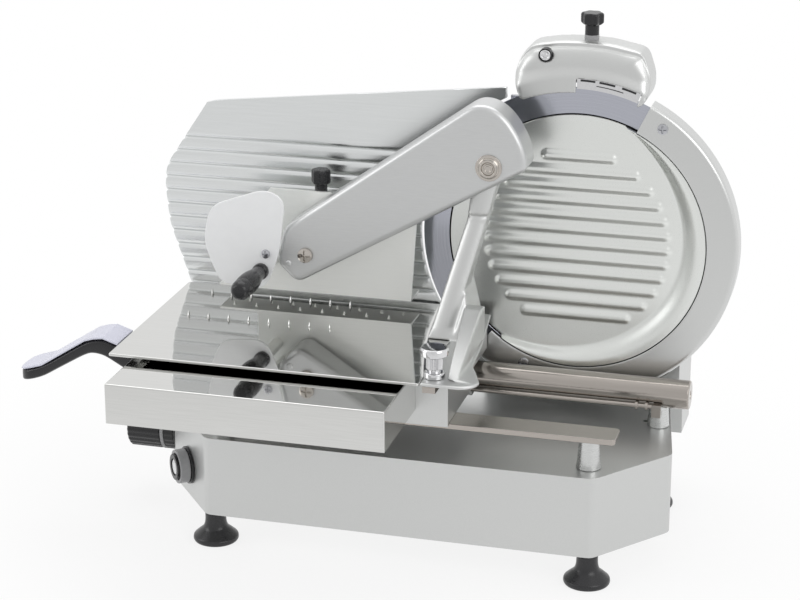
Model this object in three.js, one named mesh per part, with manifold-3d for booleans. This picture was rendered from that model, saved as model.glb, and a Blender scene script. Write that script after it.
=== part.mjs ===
import * as THREE from 'three';
import { ConvexGeometry } from 'three/addons/geometries/ConvexGeometry.js';
import { mergeVertices } from 'three/addons/utils/BufferGeometryUtils.js';
import Module from 'manifold-3d';

// Vertical meat slicer with a motor-driven blade, a hand-pushed carriage and a clamp arm.
// Millimetres. X runs to the right, Y to the back and Z up from the bench, with the base's
// front face at Y zero and its middle at X zero until the whole is centred at the end.

const wasm = await Module();
wasm.setup();

// Clearances and how finely round things are cut
const seat = 0.3;
const slip = 0.4;
const overrun = 5;
const discSides = 60;
const roundSides = 20;
const smallSides = 12;
const cornerSteps = 3;
const quarterTurn = Math.PI / 2;

// Base: a cast box with cut corners, open below and closed by a plate
const base = {
  width: 564, cornerWidth: 69, rearTaper: 30, depth: 262, cornerDepth: 88,
  bottom: 34, height: 90, wall: 4, cornerRadius: 6, plate: 2, pillarRadius: 10.5,
};
const baseTop = base.bottom + base.height;
const baseFrontWidth = base.width - 2 * base.cornerWidth;
const baseRearWidth = base.width - 2 * base.rearTaper;
const foot = {
  floorRadius: 21, flareRadius: 25, flareHeight: 12, neckRadius: 11.5, neckHeight: 27,
  frontInset: 6, frontY: 13, rearInset: 12, rearGap: 30,
};
const drain = { radius: 3, fromRight: 43, fromRear: 87 };
const gland = { fromLeft: 52, rise: 26, radius: 12, reach: 16, inside: 12, threadRadius: 8, bore: 4 };

// Rails: a round bar behind, a flat bar in front and a thin rod that keeps the carriage down
const roundRail = { radius: 16, overhang: 6, y: 167, rise: 38.5, chamfer: 1.2, postInset: 34 };
const roundPost = { bottomRadius: 12.2, topRadius: 10 };
const flatRail = {
  width: 35, thickness: 6, inset: 50, y: 31.2, rise: 33.75, corner: 6, postInset: 29.6,
};
const flatPost = { bottomRadius: 13.3, topRadius: 10.6 };
const liftRod = {
  radius: 2.5, before: 18.5, below: 10.5, stopInset: 21.7, stopPitch: 11, stopRadius: 4.5, stopWidth: 3,
  lugWidth: 10, lugDepth: 5.5, lugAhead: 0.5, lugRise: 14, toeRise: 5,
};
const roundRailEnd = base.width / 2 + roundRail.overhang;
const roundPostX = roundRailEnd - roundRail.postInset;
const roundRailZ = baseTop + roundRail.rise;
const flatRailEnd = base.width / 2 - flatRail.inset;
const flatPostX = flatRailEnd - flatRail.postInset;
const flatRailZ = baseTop + flatRail.rise;
const flatRailTop = flatRailZ + flatRail.thickness;

// Blade, its flat cover, and the ring that guards the side that doesn't cut
const blade = {
  radius: 173, x: 151, overBase: 18, behindRail: 38, hubThickness: 3.3, rimWidth: 29.3, rimDepth: 5,
  rimOuterInset: 15, edge: 0.6, recess: 3.7, bore: 6.5,
};
const cutY = roundRail.y + blade.behindRail;
const bladeZ = baseTop + blade.overBase + blade.radius;
const bladeTop = bladeZ + blade.radius;
const rimInner = blade.radius - blade.rimWidth;
const bladeBackY = cutY + blade.recess + blade.hubThickness;
const cover = {
  gap: 0.9, thickness: 3, dishInset: 24, dishRise: 9, dishSheet: 2,
  dishStartAngle: -118, dishEndAngle: 54, ribCount: 12, ribPitch: 16.4, ribTopOffset: 96,
  ribReach: 105, ribRadius: 4, ribProud: 1.5,
};
const ring = {
  outside: 4.5, wall: 3, flange: 34, frontGap: 7, depth: 26, startAngle: -130, endAngle: 64,
  footStartAngle: -124, footEndAngle: -52, screwAngle: 56.6, screwRadius: 5, screwRise: 1,
};
const ringRadius = blade.radius + ring.outside;
const ringFrontY = cutY - ring.frontGap - ring.wall;

// Drive behind the blade: housing, bearings, hollow hub, pulleys, belt and motor. Sideways places
// count from the blade's middle.
const head = {
  bladeGap: 16, depth: 92, wall: 4, leftReach: 106, rightReach: 116, boxRise: 91, neckRadius: 78,
  waistLeftReach: 91, waistRightReach: 99, neckAbove: 15, bossRadius: 34, bossDepth: 40, lid: 2,
  packReach: 1, packDrop: 46, packGap: 0.6,
};
const headY = bladeBackY + head.bladeGap;
const headRearY = headY + head.depth;
const headLeft = blade.x - head.leftReach;
const headRight = blade.x + head.rightReach;
const hub = { flangeRadius: 45, flangeThickness: 5.7, radius: 15, rearGap: 12 };
const bearing = { radius: 26, width: 12, inset: 1, shoulderRadius: 20 };
const pulley = { radius: 45, width: 18, fromRear: 30 };
const belt = { thickness: 3, inset: 2 };
const motor = { aside: 44, rise: 66, radius: 44, length: 52, pulleyRadius: 18, shaftRadius: 6, bore: 0.4 };
const motorX = blade.x + motor.aside;
const tieRod = { radius: 5, knobRadius: 18, knobDepth: 22, knobSides: 24 };

// Gauge plate with its carrier, guide shaft and the spiral cam that sets it
const gauge = {
  left: -328, right: 90, bottom: 26, top: 358.7, crest: 1.8, sheet: 2.2, ribPitch: 15.9, ribCount: 16,
  ribWidthShare: 0.8, firstRib: 275.1, ribSteps: 5, bladeGap: 2.8, ringGap: 1, ringLeadAngle: 3, travel: 16,
};
const gaugeOutlineShares = [
  [0.134, 0], [1, 0], [0.951, 0.5], [0.951, 1], [0.158, 0.891], [0.127, 0.881],
  [0.005, 0.649], [0, 0.577], [0.01, 0.445], [0.069, 0.228],
];
const knob = {
  y: 130, radius: 26, length: 56, bossReach: 8, bossRadius: 18, bossInside: 20,
  ringInset: 12, ringWidth: 4, ringDepth: 3, edge: 2, spindleRadius: 5,
};
const knobZ = (base.bottom + base.plate + baseTop - base.wall) / 2;
const knobRightX = -base.width / 2 - knob.bossReach;
const carrier = {
  fromKnob: 96, width: 12, depth: 12, padLeft: 30, padRight: 34, padLow: 46, padHigh: 206, padSheet: 5,
  bossRadius: 13, bossAhead: 20, guideRadius: 8, overSpindle: 22, guideFront: 56, guideRearGap: 5,
  armBelow: 8, armDepth: 12, pinRadius: 4, hangerWidth: 24, hangerDepth: 8, hangerInset: 6,
};
const carrierX = knobRightX + carrier.fromKnob;
const carrierBossFront = knob.y + carrier.bossAhead;
const cam = {
  fromCarrier: 28, width: 8, innerRadius: 16, turnAngle: 300, dwellAngle: 25, steps: 30, hangerGap: 10,
};
const camX = carrierX + cam.fromCarrier;
const spindleHangerX = camX + cam.width + cam.hangerGap;

// Switch on the left cut corner
const button = {
  rise: 36, alongShare: 0.52, bezelRadius: 21, bezelHeight: 3.2, throatRadius: 14.6, throatDepth: 10,
  collarRadius: 19, collarHeight: 15, innerRadius: 9.4, innerHeight: 18, capRadius: 9, capHeight: 17,
  capDepth: 6,
};

// Sharpener on its bracket over the blade. Its places count sideways from the blade's middle, and
// upwards and downwards from the blade's top.
const sharpenerReach = { left: 71.6, right: 75.5, low: 15, high: 50, front: 15 };
const sharpener = {
  left: blade.x - sharpenerReach.left, right: blade.x + sharpenerReach.right,
  low: bladeTop - sharpenerReach.low, high: bladeTop + sharpenerReach.high,
  front: cutY - sharpenerReach.front, depth: 50, wall: 3, skirtOverlap: 3, bladeRoom: 3, corner: 8,
  notchRise: 12.5, notchStartAngle: 68.5, notchEndAngle: 91,
};
const sharpenerOutlineShares = [
  [0.045, 0], [0.95, 0], [1, 0.215], [1, 0.46], [0.939, 0.862], [0.69, 0.977], [0.5, 1], [0.31, 0.985],
  [0.113, 0.908], [0.045, 0.738], [0, 0.46], [0, 0.3],
];
const post = { aside: 7, behind: 17, rise: 31, radius: 6, sleeveRadius: 10, sleeveRise: 2 };
const postX = blade.x + post.aside;
const postY = cutY + post.behind;
const postTop = bladeTop + post.rise;
const sleeveLow = bladeTop + post.sleeveRise;
const bracket = {
  halfWidth: 25, frontGap: 20, depth: 18, drop: 20, arm: 12, noseGap: 2.6, noseReach: 11,
  tailReach: 79, tailDepth: 5, tailHeight: 15, tailDrop: 11,
};
const bracketTop = bladeTop - bracket.drop;
const sharpenerKnob = {
  collarRadius: 7.9, collarHeight: 4.5, stemRadius: 7.6, stemHeight: 11, headRadius: 12.5, headHeight: 13,
  screwRadius: 4,
};
const grindStone = { aside: -31, rise: 9, radius: 16, width: 8, behind: 4 };
const honeStone = { aside: 39, rise: 9, radius: 13, width: 6, before: 3 };
const stoneShaft = { radius: 4 };
const pushButton = { aside: -38, rise: 35, radius: 7, sunk: 2, length: 18 };

// Carriage on the rails, with its front shelf and its grip
const carriage = {
  left: 6, right: 55, front: 12, rear: 190, deckHeight: 10, deckLeft: -296.7, deckRear: 62,
  bossLeft: -85, bossRight: 45, bossRadius: 24, bushOuter: 18, bushInner: 16.3, bushInset: 3,
  rodRoomUp: 4, rodRoomBack: 6, lip: 3.4, lipDrop: 2.5,
};
const shelf = {
  left: -279.5, right: 20, front: -113, rear: 188, top: 97.5, sheet: 2, apron: 43.5,
};
const shelfTop = baseTop + shelf.top;
const deckTop = shelfTop - shelf.sheet - seat;
const lipRear = flatRail.y - flatRail.width / 2 - seat;
const lipFront = lipRear - carriage.lip;
const grip = {
  length: 131, bottom: 41, height: 63.5, front: 0, width: 46, tipRadius: 16, inlay: 2,
};
const gripTopShares = [
  [0, 0.24], [0.214, 0.378], [0.612, 0.923], [0.69, 0.975], [0.772, 1], [0.904, 0.905],
];
const gripBottomShares = [
  [1, 0.39], [0.906, 0.498], [0.791, 0.646], [0.711, 0.69], [0.631, 0.687], [0.339, 0.315],
  [0.198, 0.126], [0, 0.016],
];
const gripRootShare = 0.835;
const gripRight = carriage.deckLeft - seat;
const gripLeft = gripRight - grip.length;

// Meat table: mirror plate with spikes, and the casting that carries the arm. Sideways places of
// the casting count from the plate's right edge.
const table = {
  left: -301, right: 38, front: -47, rear: 201, gap: 5, sheet: 3, edgeRoom: 3.2,
  spikeCount: 8, spikeInset: 41, spikePitch: 23.3, frontRowInset: 135, rearRowInset: 214, spikeRadius: 2.6,
  spikeHeight: 6.5, spikeSides: 6, spikeRoot: 1,
};
const tableBottom = shelfTop + table.gap;
const tableTop = tableBottom + table.sheet;
const slide = {
  left: table.right + table.edgeRoom, right: carriage.right, front: -45, rear: 188, keel: 4,
};
const castingReach = {
  right: 59, footLeft: -25, footRight: -2, waistLeft: 5.5, waistRight: 27, webRight: 24,
  braceLeft: 37, braceRight: 54, lugLeft: 15, lugRight: 43, pivot: 32, lockKnob: 11,
};
const fromPlate = Object.fromEntries(
  Object.entries(castingReach).map(([place, reach]) => [place, table.right + reach]),
);
const casting = {
  rear: 182, noseRadius: 20, lap: 16, lapSheet: 2.2, rise: 0.5,
  footFront: 86, footRear: 128, waistFront: 130, waistRear: 156, waistRise: 122,
  headRadius: 19, headRear: 156, neckRise: 176, webRear: 150, webRise: 70, webLap: 8,
  braceFront: -36, braceFoot: 26, lugFront: 84, lugDepth: 16, lugRise: 27, lugHeight: 12,
};
const tableKnob = {
  y: -25, radius: 15, headHeight: 9, neckRadius: 8, neckHeight: 18, ringRadius: 11, ringHeight: 6,
  stemRadius: 4, edge: 1.5,
};

// Clamp arm, its pivot, and the press plate with guard and handle. The arm's places count from its
// pivot, and those of the press from its hinge on the arm.
const armReach = { left: 239.4, right: 41, low: 147, high: 67.5, hingeLeft: 204, hingeLow: 114 };
const pivotX = fromPlate.pivot;
const arm = {
  pivotRise: 185.5, front: 120, depth: 40, wall: 3, corner: 7, clearStartAngle: 226, clearEndAngle: 350,
  boltRadius: 14.5, boltHead: 5, shankRadius: 8, shankDepth: 26, faceShare: 0.8,
  rivetLeft: 20, rivetLow: 11, rivetRadius: 4, rivetRise: 1.5,
};
const pivotZ = tableTop + arm.pivotRise;
const hingeX = pivotX - armReach.hingeLeft;
const hingeZ = pivotZ - armReach.hingeLow;
const armOutlineShares = [
  [0.101, 0], [0.955, 0.648], [0.989, 0.674], [1, 0.706], [0.988, 0.79], [0.954, 0.876], [0.913, 0.946],
  [0.865, 0.988], [0.816, 1], [0.779, 0.988], [0.036, 0.289], [0, 0.103], [0.07, 0.007],
];
const pressReach = { left: 116, right: 108, behindArm: 44, low: 58.5, panelLeft: 71, panelHigh: 60 };
const press = {
  left: hingeX - pressReach.left, right: hingeX + pressReach.right, front: arm.front + pressReach.behindArm,
  depth: 36, bottom: hingeZ - pressReach.low, sheet: 2.5,
  panelLeft: hingeX - pressReach.panelLeft, panelTop: hingeZ + pressReach.panelHigh, panel: 3,
  bossRadius: 10, screwRadius: 8.5, screwHead: 4.5, shankRadius: 3.5, shankDepth: 30,
  spikePitch: 26, spikeCount: 8, spikeRadius: 2, spikeHeight: 5, spikeSides: 6, spikeInset: 14, rowInset: 10,
};
const panelOutlineShares = [
  [0, 0], [1, 0], [1.034, 0.78], [0.587, 0.85], [0.486, 1], [0.095, 1], [0, 0.82],
];
const lockReach = { left: 11, right: 15, low: 40, high: 54 };
const lockBoss = {
  left: hingeX - lockReach.left, right: hingeX + lockReach.right,
  low: hingeZ + lockReach.low, high: hingeZ + lockReach.high, depth: 20,
};
const lockX = (lockBoss.left + lockBoss.right) / 2;
const lockY = press.front + lockBoss.depth / 2;
const lockKnob = {
  stemRadius: 7, stemHeight: 12, headRadius: 11, headHeight: 17, screwRadius: 3, screwDepth: 11,
};
const guardReach = { left: 116, beforeHinge: 20.5, low: 42.3, high: 74, beforeArm: 7, screwLeft: 43.3 };
const guard = {
  left: hingeX - guardReach.left, right: hingeX - guardReach.beforeHinge,
  low: hingeZ - guardReach.low, high: hingeZ + guardReach.high, front: arm.front - guardReach.beforeArm,
  sheet: 3, corner: 13, screwX: hingeX - guardReach.screwLeft, screwZ: hingeZ,
  screwRadius: 5, screwHead: 2.5, screwShank: 2.2, screwDepth: 22,
};
const guardOutlineShares = [
  [0.22, 0.031], [0.743, 0], [0.918, 0.361], [1, 0.905], [0.764, 0.998], [0.094, 0.798], [0, 0.446],
  [0.132, 0.157],
];
const handleReach = { left: 49, low: 20, stud: 53 };
const handle = {
  x: hingeX - handleReach.left, z: hingeZ - handleReach.low, studEnd: guard.front - handleReach.stud,
  length: 78, studRadius: 4, spacerRadius: 7, collarRadius: 9, collarLength: 6, waistRadius: 7.5,
  bodyRadius: 10.5, endRadius: 9.5, tipShare: 0.6,
};
const knobLobes = { count: 5, depthShare: 0.14, steps: 50 };
const cornerReachShare = 0.45;

// Turns degrees into radians
const radians = degrees => THREE.MathUtils.degToRad(degrees);

// Six times the volume of a closed mesh, negative when its faces point inwards
function volumeSign(corners, faces) {
  let sum = 0;
  for (let i = 0; i < faces.length; i += 3) {
    const [a, b, c] = faces.slice(i, i + 3).map(v => new THREE.Vector3().fromArray(corners, v * 3));
    sum += a.dot(b.cross(c));
  }
  return sum;
}

// A solid for booleans from a closed geometry, moved by a matrix
function toSolid(geometry, place = new THREE.Matrix4()) {
  geometry.deleteAttribute('normal');
  geometry.deleteAttribute('uv');
  const merged = mergeVertices(geometry).applyMatrix4(place);
  const corners = merged.getAttribute('position').array;
  const index = merged.index.array;
  const faces = [];
  for (let i = 0; i < index.length; i += 3) {
    const [a, b, c] = index.slice(i, i + 3);
    if (a !== b && b !== c && c !== a) faces.push(a, b, c);
  }
  if (volumeSign(corners, faces) < 0) faces.reverse();
  return new wasm.Manifold(new wasm.Mesh({
    numProp: 3,
    vertProperties: Float32Array.from(corners),
    triVerts: Uint32Array.from(faces),
  }));
}

const join = (first, ...others) => others.reduce((whole, other) => whole.add(other), first);
const cut = (first, ...tools) => tools.reduce((whole, tool) => whole.subtract(tool), first);

// A box between its faces
function block(left, right, front, rear, low, high) {
  const middle = new THREE.Matrix4().makeTranslation((left + right) / 2, (front + rear) / 2, (low + high) / 2);
  return toSolid(new THREE.BoxGeometry(right - left, rear - front, high - low), middle);
}

const unit = {
  x: new THREE.Vector3(1, 0, 0),
  y: new THREE.Vector3(0, 1, 0),
  z: new THREE.Vector3(0, 0, 1),
};
const outlineAxes = {
  x: [unit.y, unit.z, unit.x],
  y: [unit.x, unit.z, unit.y],
  z: [unit.x, unit.y, unit.z],
};

// An outline drawn in the two other axes, carried along one axis between two places
function slab(axis, outline, from, to) {
  const shape = new THREE.Shape(outline.map(([u, v]) => new THREE.Vector2(u, v)));
  const geometry = new THREE.ExtrudeGeometry(shape, { depth: to - from, bevelEnabled: false });
  const [across, up, along] = outlineAxes[axis];
  const place = new THREE.Matrix4().makeBasis(across, up, along);
  return toSolid(geometry, place.setPosition(along.clone().multiplyScalar(from)));
}

// A profile of radius and place, turned about a line along one axis through the point (a, b)
// of the two other axes
function turned(axis, a, b, profile, sides = roundSides) {
  const geometry = new THREE.LatheGeometry(profile.map(([r, h]) => new THREE.Vector2(r, h)), sides);
  const place = {
    x: () => new THREE.Matrix4().makeRotationZ(-quarterTurn).setPosition(0, a, b),
    y: () => new THREE.Matrix4().makeTranslation(a, 0, b),
    z: () => new THREE.Matrix4().makeRotationX(quarterTurn).setPosition(a, b, 0),
  }[axis]();
  return toSolid(geometry, place);
}

function rod(axis, a, b, radius, from, to, sides = roundSides) {
  return turned(axis, a, b, [[0, from], [radius, from], [radius, to], [0, to]], sides);
}

function tube(axis, a, b, inner, outer, from, to, sides = roundSides) {
  return turned(axis, a, b, [[inner, from], [outer, from], [outer, to], [inner, to], [inner, from]], sides);
}

// The smallest solid with flat faces round a set of points
function hull(points) {
  return toSolid(new ConvexGeometry(points.map(([x, y, z]) => new THREE.Vector3(x, y, z))));
}

// Points given as shares of a box, moved to its edges
function placed(shares, left, right, low, high) {
  return shares.map(([across, up]) => [left + across * (right - left), low + up * (high - low)]);
}

// An outline with each corner rounded by a curve that starts and ends a radius away from it
function rounded(points, radius) {
  const soft = [];
  points.forEach((corner, i) => {
    const before = points[(i + points.length - 1) % points.length];
    const after = points[(i + 1) % points.length];
    const [start, end] = [before, after].map(other => {
      const length = Math.hypot(other[0] - corner[0], other[1] - corner[1]);
      const part = Math.min(radius / length, cornerReachShare);
      return new THREE.Vector2(...corner).lerp(new THREE.Vector2(...other), part);
    });
    const curve = new THREE.QuadraticBezierCurve(start, new THREE.Vector2(...corner), end);
    curve.getPoints(cornerSteps).forEach(point => soft.push([point.x, point.y]));
  });
  return soft;
}

// A counter-clockwise outline moved inwards by a distance
function inset(points, distance) {
  const inward = (from, to) => {
    const length = Math.hypot(to[0] - from[0], to[1] - from[1]);
    return [(from[1] - to[1]) / length, (to[0] - from[0]) / length];
  };
  return points.map((corner, i) => {
    const n = inward(points[(i + points.length - 1) % points.length], corner);
    const m = inward(corner, points[(i + 1) % points.length]);
    const scale = distance / (1 + n[0] * m[0] + n[1] * m[1]);
    return [corner[0] + (n[0] + m[0]) * scale, corner[1] + (n[1] + m[1]) * scale];
  });
}

// Points on an arc, in the two axes of an outline
function arc(centreU, centreV, radius, startAngle, endAngle, steps) {
  return Array.from({ length: steps + 1 }, (_, i) => {
    const angle = radians(startAngle + (endAngle - startAngle) * i / steps);
    return [centreU + radius * Math.cos(angle), centreV + radius * Math.sin(angle)];
  });
}

// A slice of a disc about the line along Y through (x, z)
function sector(x, z, radius, startAngle, endAngle, front, rear) {
  return slab('y', [[x, z], ...arc(x, z, radius, startAngle, endAngle, roundSides)], front, rear);
}

// The outline of a knob with rounded lobes
function lobed(radius) {
  return Array.from({ length: knobLobes.steps }, (_, i) => {
    const angle = 2 * Math.PI * i / knobLobes.steps;
    const reach = radius * (1 - knobLobes.depthShare * (1 - Math.cos(knobLobes.count * angle)) / 2);
    return [reach * Math.cos(angle), reach * Math.sin(angle)];
  });
}

// Looks: colour, roughness and metalness
const look = (color, roughness, metalness) => new THREE.MeshStandardMaterial({ color, roughness, metalness });
const castSilver = look(0xb8b9b5, 0.45, 0.9);
const satinSteel = look(0xb4b3ae, 0.35, 1);
const mirrorSteel = look(0xc6c6c2, 0.08, 1);
const polishedSteel = look(0xa9a29a, 0.2, 1);
const blackPlastic = look(0x17171b, 0.35, 0);
const blackRubber = look(0x1b1b1e, 0.6, 0);
const whitePlastic = look(0xe6e6e3, 0.4, 0);
const greyPlastic = look(0x9a9a98, 0.45, 0);
const paleInlay = look(0xd4d5e4, 0.4, 0.1);
const stoneGrit = look(0xb98f7a, 0.9, 0);
const bearingSteel = look(0x8e8f92, 0.25, 1);

// One named mesh from a solid
function piece(name, solid, material) {
  const { vertProperties, triVerts } = solid.getMesh();
  const geometry = new THREE.BufferGeometry();
  geometry.setAttribute('position', new THREE.Float32BufferAttribute(vertProperties, 3));
  geometry.setIndex(new THREE.Uint32BufferAttribute(triVerts, 1));
  geometry.computeVertexNormals();
  const mesh = new THREE.Mesh(geometry, material);
  mesh.name = name;
  return mesh;
}

// Base

const baseOutline = [
  [-baseFrontWidth / 2, 0], [baseFrontWidth / 2, 0], [base.width / 2, base.cornerDepth],
  [baseRearWidth / 2, base.depth], [-baseRearWidth / 2, base.depth], [-base.width / 2, base.cornerDepth],
];
const footRearY = base.depth - foot.rearGap;
const footPlaces = [
  [-baseFrontWidth / 2 + foot.frontInset, foot.frontY],
  [baseFrontWidth / 2 - foot.frontInset, foot.frontY],
  [-baseRearWidth / 2 + foot.rearInset, footRearY],
  [baseRearWidth / 2 - foot.rearInset, footRearY],
];
const drainX = base.width / 2 - drain.fromRight;
const drainY = base.depth - drain.fromRear;
const glandX = -baseRearWidth / 2 + gland.fromLeft;
const guideZ = knobZ + carrier.overSpindle;
const guideRear = base.depth - carrier.guideRearGap;
const gaugeBackY = cutY + gauge.crest + gauge.sheet;
const carrierFrontY = gaugeBackY + seat + carrier.padSheet;
const carrierRearY = carrierFrontY + carrier.depth;

// The middle of the left cut corner and the way it faces
const switchPlace = new THREE.Vector3(
  -baseFrontWidth / 2 - button.alongShare * base.cornerWidth,
  button.alongShare * base.cornerDepth,
  base.bottom + button.rise,
);
const switchTurn = new THREE.Quaternion().setFromUnitVectors(
  unit.y,
  new THREE.Vector3(-base.cornerDepth, -base.cornerWidth, 0).normalize(),
);

// A profile turned about the switch's own line, with its places counted outwards from the wall
function switchTurned(profile) {
  const geometry = new THREE.LatheGeometry(profile.map(([r, h]) => new THREE.Vector2(r, h)), roundSides);
  const size = new THREE.Vector3(1, 1, 1);
  return toSolid(geometry, new THREE.Matrix4().compose(switchPlace, switchTurn, size));
}

function hanger(x, front, rear, z, holeRadius, axis) {
  const wide = block(
    x - carrier.hangerWidth / 2, x + carrier.hangerWidth / 2, front, rear,
    z - holeRadius - carrier.hangerInset, baseTop - base.wall / 2,
  );
  const hole = axis === 'y'
    ? rod('y', x, z, holeRadius, front - overrun, rear + overrun)
    : rod('x', (front + rear) / 2, z, holeRadius, x - carrier.hangerWidth, x + carrier.hangerWidth);
  return cut(wide, hole);
}

function baseHousing() {
  const inner = inset(baseOutline, base.wall);
  const outside = slab('z', rounded(baseOutline, base.cornerRadius), base.bottom, baseTop);
  const ceiling = baseTop - base.wall;
  const inside = slab('z', rounded(inner, base.cornerRadius - base.wall), base.bottom - overrun, ceiling);
  const pillars = footPlaces.map(([x, y]) => rod(
    'z', x, y, base.pillarRadius, base.bottom + base.plate + seat, baseTop - base.wall / 2,
  ));
  const pillarLimit = slab('z', inset(baseOutline, base.wall / 2), base.bottom, baseTop);
  const knobBoss = rod(
    'x', knob.y, knobZ, knob.bossRadius, knobRightX + seat, knobRightX + seat + knob.bossInside,
  );
  const guideHole = carrier.guideRadius + seat;
  const guideHangers = [
    carrier.guideFront + seat,
    guideRear - seat - carrier.hangerDepth,
  ].map(front => hanger(carrierX, front, front + carrier.hangerDepth, guideZ, guideHole, 'y'));
  const spindleHanger = hanger(
    spindleHangerX, knob.y - carrier.hangerWidth / 2, knob.y + carrier.hangerWidth / 2,
    knobZ, knob.spindleRadius + seat, 'x',
  );
  const spindleHole = knob.spindleRadius + slip;
  const glandHole = gland.threadRadius + seat;
  return cut(
    join(
      cut(outside, inside), ...pillars.map(pillar => pillar.intersect(pillarLimit)), knobBoss,
      ...guideHangers, spindleHanger,
    ),
    rod('x', knob.y, knobZ, spindleHole, knobRightX - overrun, knobRightX + knob.bossInside + overrun),
    switchTurned([
      [0, -button.throatDepth], [button.throatRadius + seat, -button.throatDepth],
      [button.throatRadius + seat, overrun], [0, overrun],
    ]),
    rod('y', glandX, base.bottom + gland.rise, glandHole, base.depth - overrun, base.depth + overrun),
    rod('z', drainX, drainY, drain.radius, ceiling - overrun, baseTop + overrun, smallSides),
    block(
      carrierX - carrier.width / 2 - slip, carrierX + carrier.width / 2 + slip,
      carrierFrontY - slip, carrierRearY + gauge.travel + slip, ceiling - overrun, baseTop + overrun,
    ),
  );
}

function bottomPlate() {
  return slab(
    'z', rounded(inset(baseOutline, base.wall + seat), base.cornerRadius - base.wall),
    base.bottom, base.bottom + base.plate,
  );
}

function rubberFoot() {
  const { flareRadius, flareHeight, neckRadius } = foot;
  return turned('z', 0, 0, [
    [0, 0], [foot.floorRadius, 0], [flareRadius, flareHeight / 3], [flareRadius, flareHeight / 2],
    [(flareRadius + neckRadius) / 2, flareHeight], [neckRadius, foot.neckHeight - flareHeight / 2],
    [neckRadius, base.bottom - seat], [0, base.bottom - seat],
  ]);
}

function cableGland() {
  const z = base.bottom + gland.rise;
  const outerY = base.depth + seat;
  return turned('y', glandX, z, [
    [gland.bore, base.depth - gland.inside], [gland.threadRadius, base.depth - gland.inside],
    [gland.threadRadius, outerY], [gland.radius, outerY], [gland.radius, outerY + gland.reach / 2],
    [gland.threadRadius, outerY + gland.reach], [gland.bore, outerY + gland.reach],
    [gland.bore, base.depth - gland.inside],
  ], smallSides);
}

// Switch: a black body with a grey collar round it and a pale button that presses in

function switchBezel() {
  return switchTurned([
    [button.innerRadius, -button.throatDepth], [button.throatRadius, -button.throatDepth],
    [button.throatRadius, seat], [button.bezelRadius, seat], [button.bezelRadius, button.bezelHeight],
    [button.throatRadius, button.bezelHeight], [button.throatRadius, button.innerHeight],
    [button.innerRadius, button.innerHeight], [button.innerRadius, -button.throatDepth],
  ]);
}

function switchCollar() {
  const inner = button.throatRadius + seat;
  const low = button.bezelHeight + seat;
  return switchTurned([
    [inner, low], [button.collarRadius, low], [button.collarRadius, button.collarHeight],
    [inner, button.collarHeight], [inner, low],
  ]);
}

function switchButton() {
  return switchTurned([
    [0, -button.capDepth], [button.capRadius, -button.capDepth], [button.capRadius, button.capHeight],
    [0, button.capHeight],
  ]);
}

// Rails

function roundRailBar() {
  const end = roundRailEnd;
  const { radius, chamfer } = roundRail;
  return turned('x', roundRail.y, roundRailZ, [
    [0, -end], [radius - chamfer, -end], [radius, -end + chamfer], [radius, end - chamfer],
    [radius - chamfer, end], [0, end],
  ]);
}

function flatRailBar() {
  const side = flatRail.width / 2;
  const outline = [
    [-flatRailEnd, -side], [flatRailEnd, -side], [flatRailEnd, side], [-flatRailEnd, side],
  ];
  return slab('z', rounded(outline, flatRail.corner), flatRailZ, flatRailTop);
}

function roundRailPost() {
  const axisHeight = roundRail.rise;
  const top = axisHeight - roundRail.radius / 2;
  const body = turned('z', 0, 0, [
    [0, seat], [roundPost.bottomRadius, seat], [roundPost.topRadius, top], [0, top],
  ]);
  const reach = roundPost.bottomRadius + overrun;
  return cut(body, rod('x', 0, axisHeight, roundRail.radius + seat, -reach, reach));
}

function flatRailPost() {
  const top = flatRail.rise - seat;
  return turned('z', 0, 0, [
    [0, seat], [flatPost.bottomRadius, seat], [flatPost.topRadius, top], [0, top],
  ]);
}

const liftRodY = roundRail.y - liftRod.before;
const liftRodZ = roundRailZ - liftRod.below;

function liftRodBar() {
  const lugX = roundPostX;
  const stopX = lugX - liftRod.stopInset;
  const lugLeft = lugX - liftRod.lugWidth / 2;
  const lugRight = lugX + liftRod.lugWidth / 2;
  const lugLow = liftRodZ + liftRod.radius - liftRod.lugRise;
  const lugFront = liftRodY - liftRod.radius - liftRod.lugAhead;
  const bar = rod('x', liftRodY, liftRodZ, liftRod.radius, -lugX, lugX, smallSides);
  const sides = [-1, 1].flatMap(side => {
    const stops = [0, liftRod.stopPitch].map(step => {
      const left = side * (stopX + step) - liftRod.stopWidth / 2;
      return rod('x', liftRodY, liftRodZ, liftRod.stopRadius, left, left + liftRod.stopWidth, smallSides);
    });
    const [left, right] = side > 0 ? [lugLeft, lugRight] : [-lugRight, -lugLeft];
    const toeRear = roundRail.y - roundPost.bottomRadius + seat;
    return [
      ...stops,
      block(left, right, lugFront, lugFront + liftRod.lugDepth, lugLow, liftRodZ + liftRod.radius),
      block(left, right, lugFront, toeRear, lugLow, lugLow + liftRod.toeRise),
    ];
  });
  const posts = [-1, 1].map(side => turned('z', side * lugX, roundRail.y, [
    [0, baseTop], [roundPost.bottomRadius + seat, baseTop],
    [roundPost.topRadius + seat, baseTop + roundRail.rise - roundRail.radius / 2],
    [0, baseTop + roundRail.rise - roundRail.radius / 2],
  ]));
  return cut(join(bar, ...sides), ...posts);
}

// Blade and cover

function bladeDisc() {
  const front = cutY;
  const floor = cutY + blade.recess;
  const thickOuter = blade.radius - blade.rimOuterInset;
  return turned('y', blade.x, bladeZ, [
    [blade.bore, floor], [rimInner, floor], [rimInner, front], [blade.radius, front],
    [blade.radius, front + blade.edge], [thickOuter, front + blade.rimDepth],
    [rimInner, bladeBackY], [blade.bore, bladeBackY], [blade.bore, floor],
  ], discSides);
}

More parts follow.
